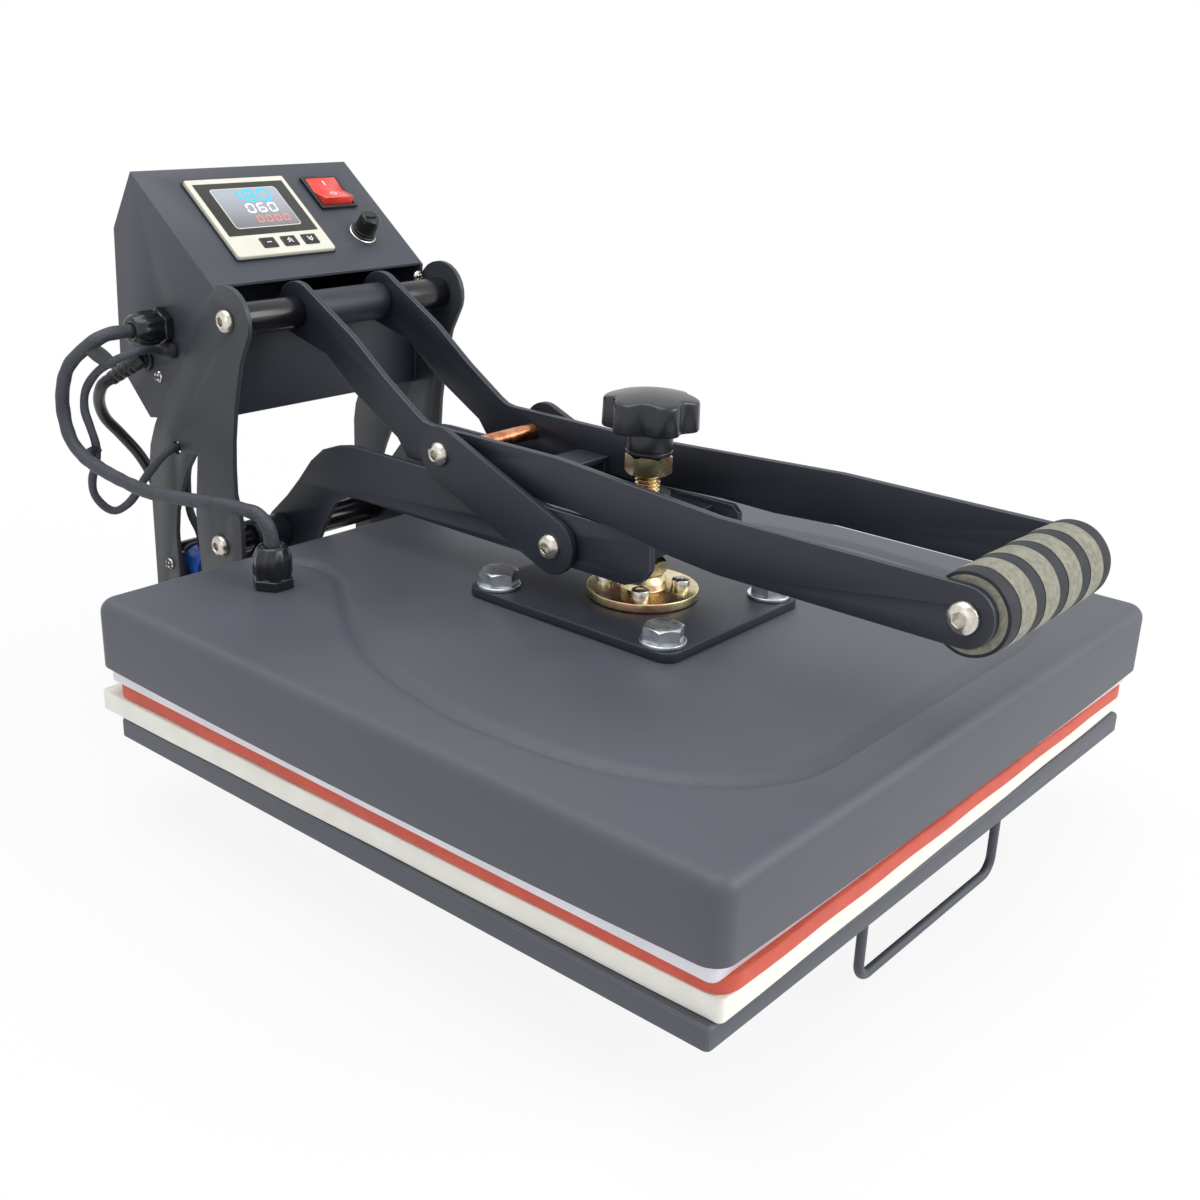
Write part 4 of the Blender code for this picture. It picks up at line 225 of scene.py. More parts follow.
def slab(half, corner, levels, centre=(0, 0), corner_steps=7, side_steps=1):
    """A rounded rectangle carried through levels of inset and height. Its points stand at the corners'
    own centres plus the corner's radius along their normal, so an inset moves them straight inward."""
    turn = np.linspace(0, math.pi / 2, corner_steps + 1)
    signs = np.array([(1, 1), (-1, 1), (-1, -1), (1, -1)])
    seats, normals = [], []
    for k, sign in enumerate(signs):
        angle = turn + k * math.pi / 2
        out = np.stack([np.cos(angle), np.sin(angle)], -1)
        share = np.linspace(0, 1, side_steps + 1)[1:-1, None]
        seats += [np.tile(sign, (len(turn), 1)), sign + share * (signs[(k + 1) % 4] - sign)]
        normals += [out, np.tile(out[-1], (len(share), 1))]
    seats, normals = np.concatenate(seats), np.concatenate(normals)
    rows = []
    for inset, height in levels:
        radius = max(corner - inset, 0.15)
        spot = seats * (np.array(half) - inset - radius) + normals * radius + np.array(centre)
        rows.append(np.column_stack([spot, np.full(len(spot), height)]))
    return np.stack(rows)


def lipped(low, high, ease, steps=3):
    """Levels of a flat piece from its lower face to its upper one, with a quarter round at both rims."""
    turn = np.linspace(0, math.pi / 2, steps + 1)
    inset, rise = ease * (1 - np.sin(turn)), ease * (1 - np.cos(turn))
    return [*zip(inset, low + rise), *zip(inset[::-1], (high - rise)[::-1])]


def spline(route, step):
    """A smooth curve through a route at even steps: cubic pieces that pass through the points, each
    heading from the point before it to the point after, and straight in the first and last stretch."""
    knots = np.array(route, float)
    a, b, c, d = (knots[i:len(knots) - 3 + i, None] for i in range(4))
    t = np.arange(12)[:, None] / 12
    bend = (2 * a - 5 * b + 4 * c - d) * t**2 + (3 * b - a - 3 * c + d) * t**3
    fine = np.concatenate([(b + ((c - a) * t + bend) / 2).reshape(-1, knots.shape[1]), knots[-2:]])
    fine = np.concatenate([knots[:1], fine])
    along = np.append(0, np.cumsum(np.linalg.norm(np.diff(fine, axis=0), axis=1)))
    even = np.linspace(0, along[-1], round(along[-1] / step) + 1)
    return np.stack([np.interp(even, along, column) for column in fine.T], -1)


def circle(count):
    """Angles once round at even steps."""
    return np.arange(count) * 2 * math.pi / count


def tube(path, radius, around=20):
    """Rings about a path. Each ring lies across the path's heading, and its first direction is the one
    before it less what lies along the heading, so the rings don't twist."""
    heading = np.gradient(path, axis=0)
    heading /= np.linalg.norm(heading, axis=1)[:, None]
    first = np.cross(heading[0], [0.3, 0.9, 0.31])
    sides = []
    for along in heading:
        first = first - first @ along * along
        first /= np.linalg.norm(first)
        sides.append(first)
    sides = np.array(sides)
    others = np.cross(heading, sides)
    turn = circle(around)
    ring = np.cos(turn)[:, None] * sides[:, None] + np.sin(turn)[:, None] * others[:, None]
    return path[:, None] + np.broadcast_to(radius, len(path))[:, None, None] * ring


# Charcoal powder coat: blue grey, an even satin with fine orange peel and faint lighter clouds
charcoal = finish("charcoal_powder_coat", "#4e5159 #54575f", (0.46, 0.56), 120, 1.2, 0.035, "charcoal_coat")
# The charcoal coat made lighter on the bevels: a painted highlight where the edges catch the light
charcoal_edge_highlight = finish("charcoal_coat_painted_edge_highlight", "#5c5f67 #666971", (0.42, 0.52), 40, 1.2, 0.02)
METAL = {"Metallic": 1.0}
# Bright zinc on rolled steel: cool silver with rolling marks and faint blooms
bright_zinc = finish("bright_zinc", "#bfc4cc #dfe3e8", (0.24, 0.34), 9, 0.7, 0.004, "zinc_steel", METAL)
# Pressed fibre board: cream, chalky, with fine pores on its cut edges
cream_board = finish("cream_fibre_board", "#f4f2e6 #faf8ee", (0.78, 0.9), 22, 0.45, 0.09, "cream_board")
# Silicone foam: coral red, soft sheen, with closed cells on its cut edges
sheen = {"Sheen Weight": 0.05}
red_foam = finish("red_silicone_foam", "#cb4e39 #d55c45", (0.5, 0.66), 12, 0.8, 0.16, "red_silicone", sheen)

dress("left_slide_channel right_slide_channel left_slide_runner right_slide_runner", bright_zinc, 0.4)
dress("drawer_tray", charcoal, 0.5, charcoal_edge_highlight)

PULL_HALF, PULL_Y, PULL_TOP, PULL_DROP, PULL_BEND = 67.0, -193.0, 9.2, -39.5, 9.0
turn = np.linspace(0, math.pi / 2, 9)[:, None]
corner = np.hstack([-np.cos(turn), 0 * turn, -np.sin(turn)]) * PULL_BEND
left = corner + [PULL_BEND - PULL_HALF, PULL_Y, PULL_DROP + PULL_BEND]
right = (left * [-1, 1, 1])[::-1]
legs = np.linspace([-PULL_HALF, PULL_Y, PULL_TOP], left[0], 5)[:-1]
pull_path = np.concatenate([legs, left, right, (legs * [-1, 1, 1])[::-1]])
skin("pull_rod", [tube(pull_path, 2.5)], charcoal, "drawer", "pull_handle")


def about_z(angle):
    """Three axes as rows, turned about the upright one."""
    c, s = math.cos(angle), math.sin(angle)
    return np.array([(c, s, 0), (-s, c, 0), (0, 0, 1)])


# The board and the mat lie a little askew, as they were laid there by hand
TRAY_TOP, BOARD_TOP, MAT_UNDER, MAT_TOP = 11.3, 22.7, 22.9, 31.2
BOARD_TURN, MAT_TURN = math.radians(0.75), math.radians(0.4)
board = slab((200.5, 208), 3.0, lipped(TRAY_TOP, BOARD_TOP, 0.7), (2.5, 6.5), side_steps=30)
board = board @ about_z(BOARD_TURN)
board[:, :, :2] += 0.16 * np.sin(board[:, :, 1::-1] / 17 + 2)
board = skin("pressed_board", [board], cream_board, "drawer", "foam_board")

mat = slab((198.3, 203.5), 12.0, lipped(MAT_UNDER, MAT_TOP, 1.4, 4), (0.6, -0.6), side_steps=40)
mat = mat @ about_z(MAT_TURN)
mat[1:-1, :, :2] += 0.22 * np.sin(mat[1:-1, :, 1::-1] / 11)
mat = skin("red_mat", [mat], red_foam, "drawer", "silicone_mat")

# Uprights: two plates cut from 3 mm sheet with a leaf shaped window, their feet folded out and bolted
# to the base frame.
# Dark grey powder coat: lighter than the arms' black, satin
grey_coat = finish("dark_grey_powder_coat", "#33373c #393d42", (0.42, 0.52), 90, 1.4, 0.035)
dress("left_upright right_upright", grey_coat, 0.45, black_edge_highlight)

# Handle shaft and carrier shaft: bolts through both uprights, with gloss black spacers between the
# plates and domed socket heads outside.
ALONG_X = np.array([(0, 1, 0), (0, 0, 1), (1, 0, 0)])
AGAINST_X = np.array([(0, 0, 1), (0, 1, 0), (-1, 0, 0)])
ALONG_Y = np.array([(0, 0, 1), (1, 0, 0), (0, 1, 0)])
HANDLE_PIVOT = (0, 239.5, 206.8)
CARRIER_PIVOT = (0, 256.8, 67.4)
UPRIGHT_FACE = 85.8
SHAFT_END = 82.2


def polar(levels, around=48):
    """Rows round an axis: at each level a radius and a height, which may both vary with the turn."""
    turn = circle(around)
    rows = [(radius * np.cos(turn), radius * np.sin(turn), height + 0 * turn) for radius, height in levels]
    return np.array(rows).transpose(0, 2, 1)


def eased(levels, ease):
    """A profile whose inner corners are cut back by ease, at most half of either side, and rounded."""
    corners = np.array(levels, float)
    back, ahead = corners[:-2] - corners[1:-1], corners[2:] - corners[1:-1]
    cut = [ease / np.maximum(np.linalg.norm(side, axis=1), 2.02 * ease)[:, None] for side in (back, ahead)]
    start, end = corners[1:-1] + back * cut[0], corners[1:-1] + ahead * cut[1]
    t = np.array([0, 0.33, 0.67, 1])[None, :, None]
    bent = (1 - t)**2 * start[:, None] + 2 * t * (1 - t) * corners[1:-1, None] + t**2 * end[:, None]
    return np.concatenate([corners[:1], bent.reshape(-1, 2), corners[-1:]])


def placed(rows, at, axes=np.eye(3)):
    """Rows turned to three axes and moved to a place."""
    return rows @ axes + np.array(at)


def hexagon(turn, flat):
    """Distance of a hexagon's wall from its middle, flat being the distance at the middle of a wall."""
    return flat / np.cos(turn % (math.pi / 3) - math.pi / 6)


def domed_head(radius, height, flat, around=48):
    """A domed socket head: a low rim, an arc to a flat crown, and a hexagonal socket sunk in it."""
    socket = hexagon(circle(around), flat)
    arc = np.radians(np.linspace(0, 62, 8))
    dome = zip(radius * np.cos(arc), 0.5 + (height - 0.5) * np.sin(arc) / math.sin(arc[-1]))
    inside = [(1.08 * socket, height), (socket, height - 0.3), (socket, height - 0.7 * height)]
    return polar([(radius, 0), *dome, *inside], around)


def mirrored(half):
    """A profile along a shaft from its left half, listed from the end inward, and that half reversed."""
    return [*half, *((radius, -x) for radius, x in half[::-1])]


def both_ends(rows, x, pivot):
    """The same rows at both ends of a shaft, facing outward."""
    spot = np.array(pivot)
    return [placed(rows, spot + (x, 0, 0), ALONG_X), placed(rows, spot - (x, 0, 0), AGAINST_X)]


# Gloss black paint: deep and smooth, with faint waves
gloss_black = finish("gloss_black_paint", "#101114 #15161a", (0.16, 0.26), 20, 6.0, 0.06, "gloss_black")
# Nickel plate: warm silver, slightly clouded, with fine turning marks
nickel = finish("nickel_plate", "#bdb8ae #dcd8cf", (0.2, 0.32), 3.5, 0.4, 0.004, "nickel_steel", METAL)

core = eased(mirrored([(0.5, -SHAFT_END), (9.6, -SHAFT_END), (9.6, -35.3), (6, -35.3)]), 0.6)
shaft = placed(polar(core), HANDLE_PIVOT, ALONG_X)
skin("handle_shaft_spacers", [shaft], gloss_black, "frame", "handle_shaft")
core = eased([
    (0.5, -SHAFT_END), (8.5, -SHAFT_END), (8.5, -65), (6, -65), (6, -35.7), (9, -35.7), (9, 35.7),
    (6, 35.7), (6, 40.3), (11, 40.3), (11, 64.7), (8.5, 64.7), (8.5, SHAFT_END), (0.5, SHAFT_END),
], 0.5)
shaft = placed(polar(core), CARRIER_PIVOT, ALONG_X)
skin("carrier_shaft_spacers", [shaft], gloss_black, "frame", "carrier_shaft")
head = domed_head(7.0, 4.4, 2.5)
heads = both_ends(head, UPRIGHT_FACE, HANDLE_PIVOT) + both_ends(head, UPRIGHT_FACE, CARRIER_PIVOT)
skin("shaft_bolt_heads", heads, nickel, "frame")

# Control box: a folded sheet cover over a folded tray, between the uprights. Pan head screws hold the
# cover at its sides and at the lip under the panel.
# Slate powder coat: darker and bluer than the cover's charcoal
slate = finish("slate_powder_coat", "#3b3e47 #41444d", (0.44, 0.54), 90, 1.2, 0.035)
dress("box_cover", slate, 1.1, charcoal_edge_highlight)
dress("box_tray", black_coat, 0.5, black_edge_highlight)
# Moulded case of the relay on the tray's floor
relay_plastic = finish("relay_case_plastic", "#23262b #2b2e33", (0.3, 0.45), 15, 0.7, 0.02)
dress("relay", relay_plastic, 1.0)


def pan_head(radius, height, around=48):
    """A pan head with a crossed recess: a dome less a trough along either of two crossing lines."""
    turn = circle(around)
    out = np.linspace(1, 0.04, 16)
    rows = [(radius, 0 * turn)]
    for share in out:
        x, y = radius * share * np.cos(turn), radius * share * np.sin(turn)
        near = np.minimum(abs(x), abs(y)) / (0.17 * radius)
        trough = np.clip(1.6 - near, 0, 1) * np.clip((0.72 - share) / 0.12, 0, 1)
        rows.append((radius * share, height * ((1 - share**2.6) * 0.85 + 0.15) - 0.55 * height * trough))
    return polar(rows, around)


SIDE_SCREW = (0, 316.1, 161.6)
LIP_SCREW = np.array([77.5, 255.2, 215.4])
MAGNET_SCREW = (-UPRIGHT_FACE, 313, 41.3)
screw = pan_head(3.8, 2.8)
side_screws = both_ends(screw, 82.05, SIDE_SCREW)
lip_axes = np.array([(1, 0, 0), (0, -0.12, 0.993), (0, -0.993, -0.12)])
lip_screws = [placed(screw, LIP_SCREW * (sign, 1, 1), lip_axes) for sign in (-1, 1)]
magnet_screw = [placed(screw, MAGNET_SCREW, AGAINST_X)]
skin("box_screws", side_screws + lip_screws + magnet_screw, nickel, "frame")

# Controller: a cream moulded frame clipped into the panel, a black field round the display window,
# and three gloss black keys. Its display has three rows of lit segments.


def about_x(angle):
    """Three axes as rows, turned about the one that runs across."""
    c, s = math.cos(angle), math.sin(angle)
    return np.array([(1, 0, 0), (0, c, s), (0, -s, c)])


SLOPE = math.atan2(58.8, 76.4)
PANEL = about_x(SLOPE)
PANEL_FOOT = (0, 254.6, 223.2)
CONTROLLER = (-17, 50.9)
WINDOW = (-17, 57.25)


def on_panel(rows):
    """Rows drawn across, up and out of the sloping panel, set on it."""
    return placed(rows, PANEL_FOOT, PANEL)


def bars(outlines, low, high):
    """Thin prisms of outlines drawn counterclockwise on the panel."""
    return [
        on_panel(np.stack([np.column_stack([line, np.full(len(line), z)]) for z in (low, high)]))
        for line in np.array(outlines, float)
    ]


def digits(text, place, width, height, thick, pitch):
    """Seven segment figures: each segment a bar with pointed ends between two of six corners, leaning
    to the right as such figures do."""
    half = height / 2
    low = np.array([(0, 2), (1, 1), (1, 0), (0, 0), (0, 1), (0, 1), (0, 2)])
    spans = {
        "a": ((0, 2), (1, 2)), "b": ((1, 1), (1, 2)), "c": ((1, 0), (1, 1)), "d": ((0, 0), (1, 0)),
        "e": ((0, 0), (0, 1)), "f": ((0, 1), (0, 2)), "g": ((0, 1), (1, 1)),
    }
    lit = {
        "0": "abcdef", "1": "bc", "2": "abged", "3": "abgcd", "4": "fgbc", "5": "afgcd", "6": "afgedc",
        "7": "abc", "8": "abcdefg", "9": "abcdfg",
    }
    outlines = []
    for k, figure in enumerate(text):
        for segment in lit[figure]:
            start, end = np.array(spans[segment], float) * (width, half)
            along = (end - start) / np.linalg.norm(end - start)
            aside = np.array([-along[1], along[0]]) * thick / 2
            start, end = start + along * 0.16 * thick, end - along * 0.16 * thick
            nose = along * thick / 2
            near, far = start + nose, end - nose
            six = [start, near - aside, far - aside, end, far + aside, near + aside]
            spot = np.array(six) + (k * pitch, 0)
            spot[:, 0] += 0.09 * spot[:, 1]
            outlines.append(spot + place)
    return outlines


# Cream moulded frame: satin, faintly yellowed
cream_plastic = finish("cream_plastic", "#dddbcb #e3e1d2", (0.36, 0.48), 18, 0.6, 0.015, "cream_plastic")
# Printed black field round the window
black_field = finish("black_printed_field", "#20241f #262a26", (0.3, 0.4), 20, 0.8, 0.01, "gloss_black")
# Gloss black mouldings: keys, switch bezel, fuse cap and glands
black_plastic = finish(
    "gloss_black_plastic", "#15181b #1b1e22", (0.2, 0.32), 12, 0.9, 0.02, "black_plastic",
)
# Clear window over a grey liquid crystal, with a painted reflection in its grey: paler and bluer at its head,
# dark at its foot
clear_coat = {"Coat Weight": 0.6}
window_glass = finish("display_window", "#8f9198 #9a9ca3", (0.08, 0.14), 30, 5, 0.005, sockets=clear_coat)
tree = window_glass.node_tree
where = node(tree, "TexCoord", output="Object")
height = node(tree, "SeparateXYZ", {"Vector": where}, "Z")
window_z = DATUM[2] + (PANEL_FOOT[2] + math.sin(SLOPE) * np.array([41, 73.5])) / 1000
rise = {"Value": height, "From Min": window_z[0], "From Max": window_z[1]}
rise = node(tree, "MapRange", rise)
# Painted reflection: the window's grey runs from dark at its foot to pale blue at its head
shade = ramp(tree, rise, [(0.0, "#6f6a70"), (0.34, "#85868d"), (0.6, "#9c9ea5"), (1.0, "#a9b3bd")])
wire(tree, "Principled BSDF", {"Base Color": shade})


def lit(name, colour, glow):
    """Lit segments: the colour itself, glowing a little."""
    sockets = {"Emission Color": paint(colour), "Emission Strength": glow}
    return finish(name, f"{colour} {colour}", (0.3, 0.4), 8, 0.5, 0.0, sockets=sockets)


for name, half, corner, levels, centre, material, stands_for in (
    ("controller_gasket", (37.7, 33.2), 1.2, (0.05, 0.9, 0.2), CONTROLLER, rubber, ""),
    ("controller_frame", (37, 32.5), 1.6, (0.3, 3.3, 0.7), CONTROLLER, cream_plastic, "controller"),
    ("controller_field", (33.5, 22), 0.5, (3.2, 3.42, 0.05), (-17, 57.0), black_field, ""),
    ("window_edging", (24.7, 16.9), 2.4, (3.3, 3.6, 0.1), WINDOW, cream_plastic, ""),
    ("window_glass", (24.1, 16.3), 2.0, (3.3, 3.72, 0.12), WINDOW, window_glass, ""),
):
    layer = on_panel(slab(half, corner, lipped(*levels), centre))
    skin(name, [layer], material, "frame", stands_for)
for row, text, place, width, tall, thick, pitch, colour, glow in (
    ("upper", "180", (-31.5, 62.6), 7.2, 9.2, 1.7, 11.4, "#27b8f0", 0.5),
    ("middle", "060", (-24.2, 53.0), 5.0, 6.8, 1.15, 8.2, "#f1f2fb", 0.45),
    ("lower", "0000", (-22.2, 44.6), 3.9, 4.9, 0.85, 6.6, "#f0806e", 0.35),
):
    figures = bars(digits(text, place, width, tall, thick, pitch), 3.73, 3.79)
    skin(f"{row}_figures", figures, lit(f"{row}_segments", colour, glow), "frame")

# Printed and moulded marks: white, matt
white_ink = finish("white_ink", "#e4e6e8 #f0f1f2", (0.45, 0.6), 6, 0.3, 0.01)


def chevron(centre, up):
    """An arrowhead of two strokes, pointing up or down the panel."""
    outline = np.array([(-2.2, -0.9), (-1.5, -1.2), (0, 0.3), (1.5, -1.2), (2.2, -0.9), (0, 1.3)])
    return (outline * (1, up))[::up] + centre


KEY_ROW = 27.6
for name, x, marks in (
    ("key_set", -26.25, [np.array([(-1.8, -0.35), (1.8, -0.35), (1.8, 0.35), (-1.8, 0.35)])]),
    ("key_up", -10.5, [chevron((0, -0.7), 1), chevron((0, 1.0), 1)]),
    ("key_down", 5.25, [chevron((0, 0.7), -1), chevron((0, -1.0), -1)]),
):
    body = slab((5.65, 4.2), 1.1, [*lipped(2.0, 4.0, 0.7), (2.2, 4.12)], (x, KEY_ROW))
    skin(f"{name}_cap", [on_panel(body)], black_plastic, name, name)
    skin(f"{name}_mark", bars([mark + (x, KEY_ROW) for mark in marks], 4.0, 4.16), white_ink, name)

# Power switch: a black bezel snapped into the panel, with a red rocker that tips in it. The lower end
# stands proud, and the rocker carries a line and a ring.
dress("power_switch", black_plastic, 0.5)
# Red moulded rocker: glossy, slightly clear
thin_coat = {"Coat Weight": 0.3}
red_plastic = finish("red_rocker_plastic", "#dd3326 #ea4436", (0.2, 0.32), 10, 1.0, 0.01, sockets=thin_coat)
dress("rocker", red_plastic, 0.4)
ROCKER = about_x(SLOPE - math.radians(10))
ROCKER_RISE = 2.5 / 11.2
LINE_Y, RING_Y = 6.4, -4.6
rocker_seat = np.array([49, 68.2, -1.0]) @ PANEL + PANEL_FOOT
line = slab((0.45, 2.0), 0.3, [(0, 4.0), (0, 4.72), (0.1, 4.78)], (0, LINE_Y))
line[:, :, 2] += (line[:, :, 1] - LINE_Y) * ROCKER_RISE
turn = circle(40)
ring = np.stack([2.2 * np.cos(turn), 1.7 * np.sin(turn) + RING_Y, 4.05 + 0 * turn], -1)
ring = tube(np.concatenate([ring, ring[:1]]), 0.36, 10)[:-1]
ring[:, :, 2] -= (ring[:, :, 1] - RING_Y) * ROCKER_RISE
skin("rocker_line", [placed(line, rocker_seat, ROCKER)], white_ink, "rocker")
skin("rocker_ring", [placed(ring, rocker_seat, ROCKER)], white_ink, "rocker", looped=True)

# Fuse holder: a plated ring nut and a black collar in the panel, closed by a fluted bayonet cap with a
# grip bar across its top.
FUSE = (52, 31)
seat = np.array([*FUSE, 0]) @ PANEL + PANEL_FOOT
ring_nut = polar(eased([(7.0, 0.1), (9.0, 0.1), (9.0, 0.7), (8.4, 1.0), (7.0, 1.0)], 0.15))
skin("fuse_ring", [placed(ring_nut, seat, PANEL)], nickel, "frame")
collar = [(3.0, 0.3), (8.2, 0.3), (8.4, 2.4), (7.7, 2.7), (6.2, 2.7), (6.2, 2.2), (3.0, 2.2)]
collar = placed(polar(eased(collar, 0.3)), seat, PANEL)
skin("fuse_collar", [collar], black_plastic, "frame", "fuse_holder")
turn = circle(96)
flute = 1 - 0.018 * (1 - np.cos(24 * turn)) / 2
cap = [(5.6, 2.6), (7.0, 2.6), (7.15, 3.2), (7.0, 4.0), (6.7, 4.3), (6.7, 4.9), (6.95 * flute, 5.2)]
cap += [(6.3 * flute, 13.6), (6.0 * flute, 14.4), (5.4, 14.8), (4.9, 14.8), (4.6, 14.5), (1.5, 14.5)]
bar = slab((4.2, 1.0), 0.9, [(0, 14.3), (0, 15.3), (0.35, 15.7)])
parts = [placed(polar(cap, 96), seat, PANEL), placed(bar, seat, PANEL)]
skin("fuse_bayonet_cap", parts, black_plastic, "fuse_cap", "fuse_cap")

# Lead fittings: two cable glands with a hexagon nut, a ribbed clamping nut and a domed lip, a rubber
# grommet for the thin lead, and the ribbed relief of the mains lead.
BOX_SIDE = -82.0
COVER_GLAND = (-125, 155, 78.3)
BOX_GLAND = (BOX_SIDE, 306.73, 194.01)


def gland():
    """A gland from its nut out to its lip: hexagon walls, a step, a clamping nut whose radius follows a
    cosine of twelve ribs, and a dome that turns in at the bore."""
    turn = circle(96)
    nut, rib = hexagon(turn, 10.2), 0.3 * np.cos(12 * turn)
    levels = [(6, 0.3), (nut - 0.4, 0.3), (nut, 0.7), (nut, 5.2), (nut - 0.5, 5.7), (9.6, 5.9), (9.6, 7.2)]
    levels += [(10.3 + rib, 7.6), (10.5 + rib, 8.4), (10.5 + rib, 16.4), (10.1 + 0.8 * rib, 18.2)]
    levels += [(9.4 + 0.4 * rib, 20.2), (8.6, 22), (7.8, 23.2), (6.6, 23.8)]
    return polar([*levels, (5.2, 23.7), (4.4, 23), (4.2, 20)], 96)


for name, at, axes, body in (
    ("box", BOX_GLAND, AGAINST_X, "frame"), ("cover", COVER_GLAND, np.eye(3), "platen"),
):
    fitting = placed(gland(), at, axes)
    skin(f"{name}_lead_gland", [fitting], black_plastic, body, f"{name}_gland")
dress("lead_grommet", rubber, 0.4)


def toward(heading):
    """Three axes as rows, the third along a heading."""
    along = np.array(heading) / np.linalg.norm(heading)
    aside = np.cross([0, 0, 1], along)
    aside /= np.linalg.norm(aside)
    return np.stack([aside, np.cross(along, aside), along])


RELIEF_HEADING = np.array([-0.50065, 0.65085, -0.57074])
RELIEF = np.array([BOX_SIDE, 328.09, 171.0])
flange = polar(eased([(3, 0.3), (7.5, 0.3), (7.2, 2.0), (5.9, 2.3), (5.9, 5.0), (2, 5.0)], 0.4))
length = np.linspace(-3, 22, 60)
groove = 0.42 * np.clip(np.sin(length * 1.43), 0, 1) ** 2 * (length > 2)
ribs = 5.6 - 1.15 * np.clip(length, 0, 22) / 22 - groove
boot = placed(polar([*zip(ribs, length)], 32), RELIEF - (5.5, 0, 0), toward(RELIEF_HEADING))
parts = [placed(flange, RELIEF, AGAINST_X), boot]
skin("mains_relief_boot", parts, black_plastic, "frame", "mains_relief", slot="black_pvc")

# Hold-open magnet: a winding wrapped in blue tape on a steel core, screwed to the left upright by a
# bracket, and the armature plate on its lever that meets it when the press opens.
MAGNET_FACE = (-62, 301, 35)
dress("magnet_core armature", black_coat, 0.4, black_edge_highlight)
# Winding tape: blue film in overlapping turns, with a soft shine
tape = finish("blue_winding_tape", "#2c60c4 #3c72d6", (0.25, 0.4), 6, 0.5, 0.01, "winding_tape")
tree = tape.node_tree
where = node(tree, "TexCoord", output="Object")
turns = {"Vector": where, "Scale": 55.0, "Distortion": 0.6}
wave = node(tree, "TexWave", turns, "Fac", bands_direction="DIAGONAL", wave_profile="SAW")
wire(tree, "Principled BSDF", {"Normal": bump(tree, wave, 0.3, 0.8)})
bulge = np.linspace(0, 1, 12)
belly = zip(12.4 + 0.6 * np.sin(math.pi * bulge), 0.7 + 16.3 * bulge)
winding = polar([(8.3, 0.3), (12.2, 0.3), *belly, (12.2, 17.4), (8.3, 17.4)])
winding = placed(winding, MAGNET_FACE, ALONG_Y)
skin("magnet_winding", [winding], tape, "frame", "magnet_coil")

# Carrier: two plates that turn on the lower shaft and carry the heating head, joined by a steel block
# tapped for the screw and by a folded rest under the handle.
dress("left_carrier_plate right_carrier_plate pressure_block handle_rest", black_coat, 0.4, black_edge_highlight)

# Heating head: an aluminium platen with its heater, glass wool behind it, and a pressed steel cover
# with a soft line pressed into its top. A thick plate is bolted on through four hexagon bolts.
COVER_HALF = (204, 207.5)
COVER_TOP, COVER_UNDER, COVER_EDGE = 78.3, 40.5, 7.5
# Coated aluminium: pale warm grey, with faint scuffs
part_metal = {"Metallic": 0.35}
aluminium = finish("coated_aluminium", "#dcdae0 #e8e6ea", (0.34, 0.5), 40, 0.8, 0.02, sockets=part_metal)
# Glass wool: pale yellow, matted
glass_wool = finish("glass_wool", "#d9cc8f #eadfae", (0.85, 0.95), 9, 0.8, 0.6, "glass_wool")
dress("platen", aluminium, 0.6)
# The wool stays below the pressed line
LINE_DEPTH, LINE_WIDTH, WOOL_DROP = 3.0, 3.7, 2.2
wool_low, wool_high = ((np.array(corner) - DATUM) * 1000 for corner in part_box("insulation"))
levels = lipped(wool_low[2], wool_high[2] - WOOL_DROP, 1.5)
batt = slab((wool_high - wool_low)[:2] / 2, 6.0, levels, (wool_low + wool_high)[:2] / 2)
skin("glass_wool_batt", [batt], glass_wool, "platen", "insulation")

line = np.array([
    (-118, 204), (-104, 195), (-92, 182), (-86, 166), (-90, 144), (-106, 119), (-124, 93), (-142, 64),
    (-158, 28), (-169, -26), (-169, -65), (-165, -100), (-156, -130), (-142, -154), (-126, -169),
    (-102, -179), (-60, -180), (0, -180),
])
line = spline(np.concatenate([line, (line * (-1, 1))[-2::-1]]), 6)


def off_line(x, y):
    """Distance of points from the pressed line, taken to the nearest of its short stretches."""
    spot = np.stack([x, y], -1).reshape(-1, 1, 2)
    start, stretch = line[None, :-1], np.diff(line, axis=0)[None]
    share = np.clip(((spot - start) * stretch).sum(-1) / (stretch**2).sum(-1), 0, 1)
    return np.linalg.norm(start + share[..., None] * stretch - spot, axis=-1).min(1).reshape(x.shape)


turn = np.linspace(0, math.pi / 2, 9)
levels = [(1.2, COVER_UNDER + 0.2), (1.0, COVER_UNDER), (0.2, COVER_UNDER), (0, COVER_UNDER + 0.3)]
levels += [(0, COVER_TOP - COVER_EDGE - 12), (0, COVER_TOP - COVER_EDGE - 6)]
levels += [*zip(COVER_EDGE * (1 - np.cos(turn)), COVER_TOP - COVER_EDGE * (1 - np.sin(turn)))]
levels += [(inset, COVER_TOP) for inset in np.linspace(COVER_EDGE + 2, 200, 104)]
cover = slab(COVER_HALF, 10.5, levels, corner_steps=12, side_steps=116)
top = cover[14:]
distance = off_line(top[:, :, 0], top[:, :, 1])
top[:, :, 2] -= LINE_DEPTH * np.exp(-((distance / LINE_WIDTH) ** 2))
# The cover's lower edge hangs lowest in the middle of each side
sag = 1 - (np.minimum(abs(cover[:6, :, 0]), abs(cover[:6, :, 1])) / 207) ** 2
cover[:6, :, 2] -= 2.8 * sag
skin("heating_head_cover", [cover], charcoal, "platen", "heater_cover")

PLATE_TOP = 83.6
plate = slab((59, 70.5), 8.0, lipped(78.5, PLATE_TOP, 0.5), (0, 2))
skin("hanger_plate", [plate], black_coat, "platen", "mounting_plate")


def hex_head(flat, low, high, both=False, around=72):
    """A nut or bolt head: hexagon walls cut by a cone of 30 degrees at the top, and below too if both."""
    wall = hexagon(circle(around), flat)
    drop = (wall - 0.95 * flat) * math.tan(math.radians(30))
    under = [(0.95 * flat, low), (wall, low + drop)] if both else [(wall, low)]
    return polar([*under, (wall, high - drop), (0.95 * flat, high), (0.9 * flat, high)], around)


